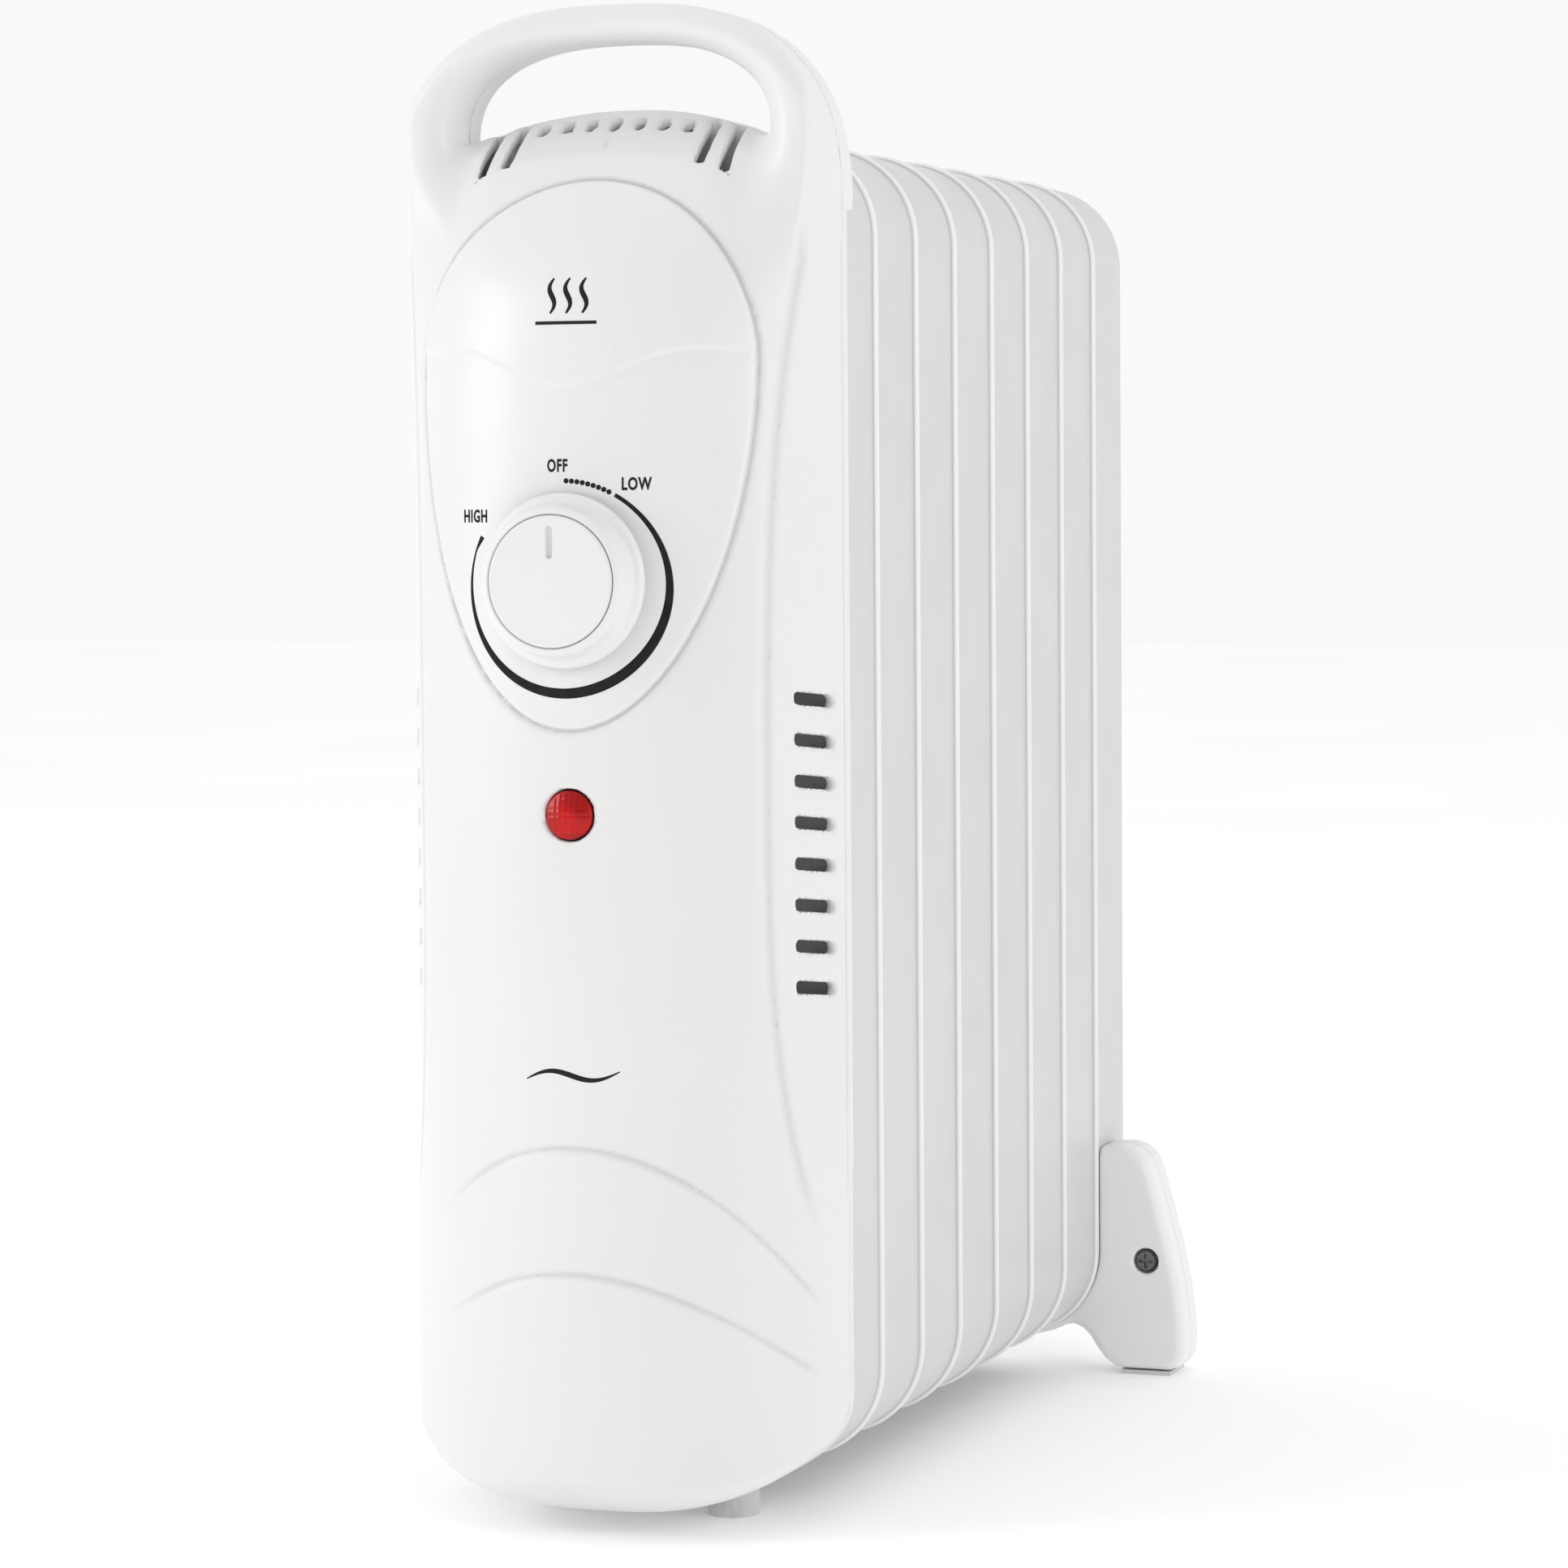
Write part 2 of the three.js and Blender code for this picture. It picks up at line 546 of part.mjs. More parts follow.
function rearPad(side) {
  const [x0, x1] = side > 0 ? [64, 79] : [-79, -64];
  return box(x0, x1, FOOT_FRONT + 1.5, FOOT_BACK - 1.5, DATUM, FOOT_SOLE - GAP);
}

// Soft plug under the housing, its top shaped to the covers' underside.
function frontPad(side, coverFront) {
  const g = new THREE.CylinderGeometry(6.4, 6.8, 12, 20);
  g.rotateX(Math.PI / 2);
  g.translate(side * 24, RIM_Y + 8, DATUM + 6);
  const coverRear = along(outlineOf(housingOutline(0)), RIM_Y - 1, RIM_Y + 20);
  return cut(solid(g), coverFront.translate([0, 0, -GAP]), coverRear.translate([0, 0, -GAP]));
}

// ---- assembly ----------------------------------------------------------------------------
const WHITE = { color: 0xf1f1ef, roughness: 0.35, metalness: 0 };
const PAINT = { color: 0xededeb, roughness: 0.4, metalness: 0.1 };
const STEEL = { color: 0xb8babd, roughness: 0.35, metalness: 1 };
const BRASS = { color: 0xc9a356, roughness: 0.35, metalness: 1 };
const CERAMIC = { color: 0xe4ddcc, roughness: 0.7, metalness: 0 };
const DARK = { color: 0x2b2c2e, roughness: 0.6, metalness: 0 };
const RUBBER = { color: 0x1b1b1c, roughness: 0.9, metalness: 0 };
const PALE_RUBBER = { color: 0xd9d9d6, roughness: 0.8, metalness: 0 };
const RED = { color: 0xc8201c, roughness: 0.2, metalness: 0 };

const heater = new THREE.Group();
heater.name = 'oil_filled_radiator_heater';

function place(name, body, look) {
  const mesh = body.getMesh();
  const g = new THREE.BufferGeometry();
  g.setAttribute('position', new THREE.Float32BufferAttribute(mesh.vertProperties, 3));
  g.setIndex(Array.from(mesh.triVerts));
  g.translate(0, 0, -DATUM);
  g.computeVertexNormals();
  const node = new THREE.Mesh(g, new THREE.MeshStandardMaterial(look));
  node.name = name;
  heater.add(node);
}

const coverOuter = coverSolid(0, 0);
const coverInner = coverSolid(WALL, WALL);
place('front_cover', frontCover(coverOuter, coverInner), WHITE);
place('control_panel', controlPanel(coverOuter), WHITE);
place('back_cover', backCover(), WHITE);
COVER_SCREWS.forEach(([x, z], i) => {
  place(`cover_screw_${i + 1}`, screw(x, z, RIM_Y + GAP + WALL + GAP + 2, -1, 3.4, 2, 1.6, 12), STEEL);
});
place('knob', knob(), WHITE);
place('knob_face', knobFace(), WHITE);
place('thermostat_bracket', thermostatBracket(), STEEL);
place('thermostat_body', thermostatBody(), CERAMIC);
place('thermostat_spindle', thermostatSpindle(), BRASS);
place('push_pin', pushPin(), CERAMIC);
place('contact_blade', contactBlade(), BRASS);
place('bimetal_strip', bimetalStrip(), STEEL);
place('lamp_lens', lampLens(), RED);
place('lamp_body', lampBody(), DARK);
place('steel_shroud', steelShroud(), PAINT);
for (let k = 0; k < FINS; k += 1) place(`fin_${k + 1}`, fin(k), PAINT);
place('oil_filler_plug', oilFillerPlug(), STEEL);
place('element_gasket', elementGasket(), RUBBER);
place('heating_element', heatingElement(), STEEL);
place('terminal_block', terminalBlock(), DARK);
place('lead_wire_left', leadWire(-1), DARK);
place('lead_wire_right', leadWire(1), DARK);
place('cable_gland', cableGland(), DARK);
place('thermal_cutout', thermalCutout(), DARK);
place('cutout_clip', cutoutClip(), STEEL);
place('earth_screw', earthScrew(), BRASS);
place('rear_foot_front_half', footHalf(FOOT_FRONT, FOOT_SPLIT - GAP / 2), WHITE);
place('rear_foot_rear_half', footHalf(FOOT_SPLIT + GAP / 2, FOOT_BACK), WHITE);
for (const [side, name] of [[-1, 'left'], [1, 'right']]) {
  place(`foot_screw_${name}`, footScrew(side), STEEL);
  place(`rear_pad_${name}`, rearPad(side), PALE_RUBBER);
  place(`front_pad_${name}`, frontPad(side, coverOuter), PALE_RUBBER);
}

export default heater;
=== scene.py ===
"""Oil filled radiator heater: the looks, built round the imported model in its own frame, in metres."""

import json
import math

import bmesh
import bpy
import numpy as np
from mathutils import Matrix, Vector
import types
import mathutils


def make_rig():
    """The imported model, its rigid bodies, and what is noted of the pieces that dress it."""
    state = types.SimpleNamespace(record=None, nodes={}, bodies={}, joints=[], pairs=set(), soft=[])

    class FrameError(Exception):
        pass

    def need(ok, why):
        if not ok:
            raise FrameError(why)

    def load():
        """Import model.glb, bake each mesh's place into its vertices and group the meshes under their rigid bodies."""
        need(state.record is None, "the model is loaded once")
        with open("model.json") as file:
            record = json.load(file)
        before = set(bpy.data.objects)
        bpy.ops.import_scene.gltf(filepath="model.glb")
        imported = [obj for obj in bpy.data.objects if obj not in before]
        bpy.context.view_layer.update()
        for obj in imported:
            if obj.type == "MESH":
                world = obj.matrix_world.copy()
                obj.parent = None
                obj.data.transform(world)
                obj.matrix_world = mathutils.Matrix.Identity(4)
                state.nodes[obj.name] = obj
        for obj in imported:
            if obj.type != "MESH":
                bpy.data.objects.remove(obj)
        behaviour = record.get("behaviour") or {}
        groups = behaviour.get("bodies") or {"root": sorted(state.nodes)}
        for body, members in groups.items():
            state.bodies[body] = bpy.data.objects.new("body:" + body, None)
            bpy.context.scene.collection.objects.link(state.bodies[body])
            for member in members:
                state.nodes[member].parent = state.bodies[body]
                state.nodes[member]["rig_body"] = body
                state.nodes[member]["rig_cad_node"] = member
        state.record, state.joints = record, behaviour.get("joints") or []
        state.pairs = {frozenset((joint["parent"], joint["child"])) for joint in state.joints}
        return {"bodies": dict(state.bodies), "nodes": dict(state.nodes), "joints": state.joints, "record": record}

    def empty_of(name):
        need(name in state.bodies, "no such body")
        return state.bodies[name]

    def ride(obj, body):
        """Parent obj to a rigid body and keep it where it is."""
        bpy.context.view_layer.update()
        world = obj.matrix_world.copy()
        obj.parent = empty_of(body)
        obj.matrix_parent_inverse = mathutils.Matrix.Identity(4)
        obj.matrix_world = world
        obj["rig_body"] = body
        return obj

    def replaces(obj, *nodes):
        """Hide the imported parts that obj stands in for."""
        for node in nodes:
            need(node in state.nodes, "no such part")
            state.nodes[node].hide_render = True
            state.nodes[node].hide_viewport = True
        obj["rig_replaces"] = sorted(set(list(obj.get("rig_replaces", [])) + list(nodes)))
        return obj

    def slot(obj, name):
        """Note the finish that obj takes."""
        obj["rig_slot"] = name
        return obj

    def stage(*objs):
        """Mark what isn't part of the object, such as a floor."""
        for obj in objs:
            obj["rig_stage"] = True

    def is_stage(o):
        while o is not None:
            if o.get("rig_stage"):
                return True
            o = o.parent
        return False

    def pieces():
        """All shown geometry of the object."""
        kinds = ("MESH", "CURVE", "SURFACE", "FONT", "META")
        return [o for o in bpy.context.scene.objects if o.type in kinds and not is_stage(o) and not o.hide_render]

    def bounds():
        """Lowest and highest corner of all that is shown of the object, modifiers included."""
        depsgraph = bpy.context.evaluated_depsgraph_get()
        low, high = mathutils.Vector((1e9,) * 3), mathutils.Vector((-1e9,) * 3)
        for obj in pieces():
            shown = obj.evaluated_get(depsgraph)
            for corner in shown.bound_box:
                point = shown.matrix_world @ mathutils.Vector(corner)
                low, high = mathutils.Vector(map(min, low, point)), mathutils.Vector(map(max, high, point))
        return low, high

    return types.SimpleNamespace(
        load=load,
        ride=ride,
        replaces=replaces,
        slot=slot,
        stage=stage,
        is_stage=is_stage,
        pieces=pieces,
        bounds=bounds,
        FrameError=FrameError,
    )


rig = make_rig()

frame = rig.load()
MM = 0.001

with open("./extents.json", "w") as f:
    json.dump({"cad": [list(corner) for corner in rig.bounds()]}, f)

# ---- dimensions in millimetres; heights are above a datum DATUM below the floor -----------
DATUM = 4.5
RIM_Y = -99.6
HALF = 59.1
TOP, BOTTOM = 389.2, 9.6
TOP_START, BOTTOM_START = 335.0, 39.0
DEPTH = 40.0
KNOB_Z = 245.0
LAMP_Z = 187.0
FIN_1_Y, PITCH, FINS = -71.6, 32.6, 7
FIN_HALF, FIN_LOW, FIN_HIGH, FIN_CORNER = 57.4, 17.0, 355.0, 24.0
FLANGE_END = 154.4


# ---- mesh helpers ------------------------------------------------------------------------
def mesh_object(name, points, faces, material, body="heater", smooth=True, sharp_deg=None):
    """An object from points in millimetres above the datum, riding on a body."""
    mesh = bpy.data.meshes.new(name)
    placed = (np.asarray(points, dtype=float) - (0, 0, DATUM)) * MM
    mesh.from_pydata(placed.tolist(), [], [list(map(int, f)) for f in faces])
    mesh.validate()
    mesh.materials.append(material)
    if smooth:
        mesh.shade_smooth()
        if sharp_deg:
            mesh.set_sharp_from_angle(angle=math.radians(sharp_deg))
    obj = bpy.data.objects.new(name, mesh)
    bpy.context.scene.collection.objects.link(obj)
    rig.ride(obj, body)
    return obj


def outward(obj):
    """Turns every face of a closed mesh to point outward."""
    work = bmesh.new()
    work.from_mesh(obj.data)
    bmesh.ops.recalc_face_normals(work, faces=work.faces)
    work.to_mesh(obj.data)
    work.free()


def grid_faces(rows, columns, close_columns=False):
    """Quads over a grid of rows by columns, joined round if close_columns."""
    across = columns if close_columns else columns - 1
    r, c = np.meshgrid(np.arange(rows - 1), np.arange(across), indexing="ij")
    d = (c + 1) % columns
    here, below = r * columns, (r + 1) * columns
    return np.stack([here + c, here + d, below + d, below + c], -1).reshape(-1, 4)


def turned(name, profile, centre, material, body="heater", steps=96, sharp_deg=None):
    """A solid turned about an axis along Y through centre (x, z); profile is (radius, y), axis to axis."""
    angle = np.linspace(0, 2 * math.pi, steps, endpoint=False)
    rings = profile[1:-1]
    points = [
        (centre[0] + r * math.cos(a), y, centre[1] + r * math.sin(a)) for r, y in rings for a in angle
    ]
    faces = [list(f) for f in grid_faces(len(rings), steps, True)]
    for (_, y), row in ((profile[0], 0), (profile[-1], len(rings) - 1)):
        points.append((centre[0], y, centre[1]))
        hub = len(points) - 1
        faces += [(row * steps + i, row * steps + (i + 1) % steps, hub) for i in range(steps)]
    obj = mesh_object(name, points, faces, material, body, sharp_deg=sharp_deg)
    outward(obj)
    return obj


def rounded_profile(corners, steps=6):
    """A profile through (radius, y, fillet) corners, each turned into an arc."""
    out = [corners[0][:2]]
    for before, here, after in zip(corners, corners[1:], corners[2:]):
        p, a, b = (np.array(v[:2], float) for v in (here, before, after))
        u, v = (a - p) / np.linalg.norm(a - p), (b - p) / np.linalg.norm(b - p)
        for t in np.linspace(0, 1, steps if here[2] else 1):
            q = p + here[2] * (u * (1 - t) ** 2 + v * t**2) if here[2] else p
            out.append(tuple(q))
    return [*out, corners[-1][:2]]


# ---- distance fields ---------------------------------------------------------------------
def round_max(a, b, r):
    """Intersection of two solids, with their shared edge rounded to radius r."""
    return np.minimum(-1e-6 * r, np.maximum(a, b)) * (np.maximum(a, b) < -r) + (
        np.sqrt(np.maximum(a + r, 0) ** 2 + np.maximum(b + r, 0) ** 2) - r
    ) * (np.maximum(a, b) >= -r)


def smoothstep(t):
    """0 up to t = 0, 1 from t = 1, with an even S between."""
    t = np.clip(t, 0, 1)
    return t * t * (3 - 2 * t)


def outline_field(x, z):
    """(distance outside the housing outline, how far its edge faces up or down, 0 to 1) in the front view."""
    spine = np.clip(z, BOTTOM_START, TOP_START)
    high = z > TOP_START
    power = np.where(high, 2.65, 2.1)
    height = np.where(high, TOP - TOP_START, BOTTOM_START - BOTTOM)
    ax, az = np.abs(x) + 1e-6, np.abs(z - spine)
    rho = ((ax / HALF) ** power + (az / height) ** power) ** (1 / power)
    reach = np.hypot(ax, az)
    return reach * (1 - 1 / rho), az**2 / (reach**2 + 15**2)


ARC_STEP, ARC_EDGE = 0.45, 1.2
EGG_Z, EGG_HALF, EGG_UP, EGG_DOWN = 298.0, 44.6, 46.4, 90.2


def arc_heights(x):
    """The two decorative arcs low on the front; each is a slight step out, going down."""
    return 103.6 - 0.0102 * x**2 - 1.1e-6 * x**4, 72.0 - 0.0089 * x**2


def upper_arc(x, z):
    """How far (x, z) is above the upper arc's edge."""
    return z - arc_heights(x)[0] - 0.5


def lower_arc(x, z):
    """How far (x, z) is above the lower arc's edge."""
    return z - arc_heights(x)[1] - 0.5


def egg_distance(x, z):
    """Signed distance outside the egg-shaped panel, near its edge."""
    tall = np.where(z > EGG_Z, EGG_UP, EGG_DOWN)
    u, v = x / EGG_HALF, (z - EGG_Z) / tall
    level = np.sqrt(u**2 + v**2) + 1e-6
    return (level - 1) * level / np.sqrt((u / EGG_HALF) ** 2 + (v / tall) ** 2 + 1e-9)


def away_from_middle(z):
    """How far z is from the lamp's height, 1 where the waist has fully opened out."""
    return np.minimum(1.05, np.abs(z - LAMP_Z) / np.where(z > LAMP_Z, 130, 107))


CROWN_R = 78             # radius of the front face across its width, at the waist


def crown(x, z):
    """How far the front face falls back at x; it is rounder toward the top and bottom."""
    fall = CROWN_R - np.sqrt(CROWN_R**2 - np.clip(x, -70, 70) ** 2)
    return (1 + 0.24 * away_from_middle(z) ** 2) * fall


def crease_x(z):
    """Half width of the front face, where it turns into the side bands."""
    return np.minimum(55.5, 46.5 + np.where(z > LAMP_Z, 5.3, 8.7) * away_from_middle(z) ** 3)


def crease_distance(x, z):
    """How far outside the crease (x, z) is; out of reach above and below its visible run."""
    return np.abs(x) - crease_x(z) + 99 * ((z < 84) | (z > 332))


def crease_shape(x, z):
    """1 along the crease between the front face and a side band, fading out at both ends."""
    line = np.exp(-(((np.abs(x) - crease_x(z)) / 0.8) ** 2))
    return line * smoothstep((z - 78) / 22) * smoothstep((335 - z) / 15)


def arc_shape(x, z):
    """1 along the upper edge of each decorative arc, fading out toward its ends."""
    lines = np.exp(-((upper_arc(x, z) / 0.7) ** 2)) + np.exp(-((lower_arc(x, z) / 0.7) ** 2))
    return lines * smoothstep((55.5 - x) / 4) * smoothstep((x + 44) / 22)


RIM_DEPTH = 13           # how far the handle's front stands ahead of the rim plane
SHOULDER_MID_Z = 332     # middle of the slope from the front face back to the handle


def face_depth(x, z):
    """How far the front face stands ahead of the rim plane, before its edges are cut."""
    shoulder = RIM_DEPTH + (DEPTH - RIM_DEPTH) / (1 + np.exp((z - SHOULDER_MID_Z) / 9.5))
    steps = sum(smoothstep((arc - z) / ARC_EDGE + 0.5) for arc in arc_heights(x))
    seam = np.exp(-((egg_distance(x, z) / 0.7) ** 2))
    lines = 0.6 * crease_shape(x, z) + 0.3 * arc_shape(x, z) + 0.7 * seam
    flatter = (shoulder - RIM_DEPTH) / (DEPTH - RIM_DEPTH)
    return shoulder - crown(x, z) * flatter + ARC_STEP * steps - lines


def body_field(x, f, z):
    """The housing as one solid block; f is the distance ahead of the rim plane."""
    outline, upright = outline_field(x, z)
    steep = 0.6 * smoothstep(1 - np.abs(z - SHOULDER_MID_Z) / 22)
    face = (f - face_depth(x, z)) / np.sqrt(1 + (x / CROWN_R) ** 2 + steep)
    crease = crease_x(z)
    rise = (DEPTH - crown(crease, z)) / (HALF - crease)
    band = (f - rise * (HALF - np.abs(x)) - 2 * smoothstep((z - 325) / 30)) / np.sqrt(1 + rise**2)
    front = round_max(face, band, 1.4)
    roll = 1.2 + np.where(z > 200, 10, 25) * upright
    return round_max(front, outline, roll)


HOLE_HALF, HOLE_Z, HOLE_HIGH = 42.0, 355.2, 24.2


def hole_field(x, z):
    """The hand hole in the front view, and its arch alone without the floor; both negative inside."""
    reach = np.hypot(x, z - HOLE_Z) + 1e-6
    rho = ((np.abs(x) / HOLE_HALF) ** 2.5 + (np.abs(z - HOLE_Z) / HOLE_HIGH) ** 2.5) ** 0.4 + 1e-6
    over = reach * (1 - 1 / rho)
    floor = 354.4 + 9 * (1 - (x / HOLE_HALF) ** 2) - z
    return round_max(over, floor, 2.5), over


SHOULDER = [(-16, 358.6), (-6, 358), (-1, 356.8), (4, 354), (9, 350.3), (14, 346), (20, 340), (26, 333.5),
            (44, 320)]


def shoulder_z(x, f):
    """Height of the box's rounded top at f ahead of the rim plane; it is crowned across its width."""
    return np.interp(f, *zip(*SHOULDER)) + 5.2 * (1 - (x / HOLE_HALF) ** 2)


def scoop_field(x, f, z):
    """Space over the box's shoulder, between the limbs of the handle."""
    _, over = hole_field(x, np.maximum(z, HOLE_Z))
    return round_max((shoulder_z(x, f) - z) * 0.78, over, 6)


TOP_VENT_PITCH = 6.5
SIDE_VENT_Z, SIDE_VENT_PITCH, SIDE_VENT_F = 214.7, 10.3, 9.7


def slot_field(x, f, z):
    """The vents: eleven slots over the shoulder, the outer two each side longer, and eight per side band."""
    i = np.clip(np.round(x / TOP_VENT_PITCH), -5, 5)
    long = np.abs(i) > 3
    middle, half = np.where(long, 6.5, 3.2), np.where(long, 6.5, 1.3)
    top = np.hypot(x - i * TOP_VENT_PITCH, np.maximum(np.abs(f - middle) - half, 0)) - 1.4
    top = np.maximum(top, np.abs(z - 354) - 12)
    k = np.clip(np.round((SIDE_VENT_Z - z) / SIDE_VENT_PITCH), 0, 7)
    height = z - (SIDE_VENT_Z - SIDE_VENT_PITCH * k) - 0.12 * (f - SIDE_VENT_F)
    side = np.hypot(height, np.maximum(np.abs(f - SIDE_VENT_F) - 4.6, 0)) - 1.6
    side = np.maximum(side, 44 - np.abs(x))
    return np.minimum(top, side)


def fin_rect_field(x, z, grow):
    """Distance outside the fins' rounded outline grown by that much."""
    r = FIN_CORNER + grow
    dx = np.abs(x) - (FIN_HALF + grow - r)
    dz = np.abs(z - (FIN_LOW + FIN_HIGH) / 2) - ((FIN_HIGH - FIN_LOW) / 2 + grow - r)
    return np.hypot(np.maximum(dx, 0), np.maximum(dz, 0)) + np.minimum(np.maximum(dx, dz), 0) - r


def housing_field(x, y, z):
    """The whole housing with its hand hole and shoulder, still without vents."""
    f = RIM_Y - y
    hole, _ = hole_field(x, z)
    block = round_max(body_field(x, f, z), -(f + 14), 8)
    cut = np.minimum(hole, scoop_field(x, f, z))
    soft = np.maximum(smoothstep((np.abs(x) - 28) / 12), smoothstep((z - 357) / 8))
    return round_max(block, -cut, 2.2 + 6.8 * soft)


COVER_WALL, SPLIT_HALF_GAP = 2.6, 0.15


def front_field(x, y, z):
    """The front cover: a shell ahead of the rim plane, with its vents and the bores for knob and lamp."""
    f = RIM_Y - y
    whole = housing_field(x, y, z)
    shell = np.maximum(whole, -np.maximum(whole + COVER_WALL, -f - 5))
    bores = np.minimum(np.hypot(x, z - KNOB_Z) - 5, np.hypot(x, z - LAMP_Z) - 6.6)
    open_shell = round_max(shell, -np.minimum(slot_field(x, f, z), bores), 0.5)
    return round_max(open_shell, SPLIT_HALF_GAP - f, 0.5)


def back_field(x, y, z):
    """The back cover: a plate behind the rim plane that runs back round the first fin only near the top."""
    f = RIM_Y - y
    whole = housing_field(x, y, z)
    behind = -f - 2.8
    keep = np.minimum(-fin_rect_field(x, z, 0.8 + 1.4 * smoothstep((352 - z) / 22)), behind)
    ends = round_max(whole, np.where(z > 200, keep, behind), 0.5)
    window = np.maximum(np.abs(x) - 30, np.abs(z - 209) - 91)
    lower = np.maximum(np.abs(x) - 26, np.abs(z - 49) - 17)
    body = np.maximum(ends, -np.minimum(window, lower))
    body = round_max(body, -slot_field(x, f, z), 0.5)
    return round_max(body, f + SPLIT_HALF_GAP, 0.5)


def skin(field, low, high, step, projections=3):
    """Points and quads of the surface where the field is zero, one point to a crossed cell."""
    axes = [np.arange(a, b + step, step) for a, b in zip(low, high)]
    size = [len(a) for a in axes]
    x, y, z = np.meshgrid(*axes, indexing="ij", sparse=True)
    values = field(x, y, z) + np.zeros(size)
    edges = []
    total = np.zeros((int(np.prod(size)), 3))
    hits = np.zeros(int(np.prod(size)))
    stride = (size[1] * size[2], size[2], 1)
    for axis in range(3):
        a = np.moveaxis(values, axis, 0)[:-1]
        b = np.moveaxis(values, axis, 0)[1:]
        where = np.nonzero((a < 0) != (b < 0))
        t = a[where] / (a[where] - b[where])
        index = list(where)
        order = [axis] + [k for k in range(3) if k != axis]
        ijk = np.empty((len(t), 3), dtype=np.int64)
        for k, col in zip(order, index):
            ijk[:, k] = col
        point = ijk.astype(float)
        point[:, axis] += t
        others = [k for k in range(3) if k != axis]
        ring = []
        for du, dv in ((0, 0), (-1, 0), (-1, -1), (0, -1)):
            corner = ijk.copy()
            corner[:, others[0]] += du
            corner[:, others[1]] += dv
            flat = corner @ np.array(stride)
            ring.append(flat)
            np.add.at(total, flat, point)
            np.add.at(hits, flat, 1)
        flip = (a[where] < 0) != (axis == 1)
        quad = np.stack(ring, -1)
        quad[~flip] = quad[~flip][:, ::-1]
        edges.append(quad)
    used = np.nonzero(hits)[0]
    cell = np.full(len(hits), -1, dtype=np.int64)
    cell[used] = np.arange(len(used))
    points = total[used] / hits[used][:, None] * step + np.array(low)
    faces = cell[np.concatenate(edges)]
    h = 0.05
    for _ in range(projections):
        value = field(*points.T)
        slope = np.stack([
            (field(*(points + h * axis).T) - field(*(points - h * axis).T)) / (2 * h) for axis in np.eye(3)
        ], -1)
        move = value[:, None] * slope / np.maximum((slope**2).sum(1), 0.2)[:, None]
        points -= np.clip(move, -step / 2, step / 2)
    return points, faces


def orient(obj):
    """Flips a closed mesh whose faces point inward, judged by its signed volume."""
    work = bmesh.new()
    work.from_mesh(obj.data)
    if work.calc_volume(signed=True) < 0:
        bmesh.ops.reverse_faces(work, faces=work.faces)
        work.to_mesh(obj.data)
    work.free()


def skin_object(name, field, low, high, step, material, body="heater", sharp_deg=None):
    """An object from the skin of a field."""
    points, faces = skin(field, low, high, step)
    obj = mesh_object(name, points, faces, material, body, sharp_deg=sharp_deg)
    orient(obj)
    return obj


def front_surface(x, z):
    """How far the finished front surface stands ahead of the rim plane at (x, z)."""
    near, far = np.zeros_like(x), np.full_like(x, DEPTH + 2)
    for _ in range(30):
        middle = (near + far) / 2
        solid = body_field(x, middle, z) < 0
        near, far = np.where(solid, middle, near), np.where(solid, far, middle)
    return (near + far) / 2


def front_normal(x, f, z):
    """Outward unit normal (x, y, z) of the front surface."""
    h = 0.2
    slope = np.stack([
        body_field(x + h, f, z) - body_field(x - h, f, z),
        -(body_field(x, f + h, z) - body_field(x, f - h, z)),
        body_field(x, f, z + h) - body_field(x, f, z - h),
    ], -1)
    return slope / np.linalg.norm(slope, axis=-1, keepdims=True)


def on_front(x, z, lift):
    """Points on the front surface at (x, z), raised along its normal."""
    f = front_surface(x, z)
    normal = front_normal(x, f, z)
    return np.stack([x, RIM_Y - f, z], -1) + normal * np.asarray(lift)[..., None]


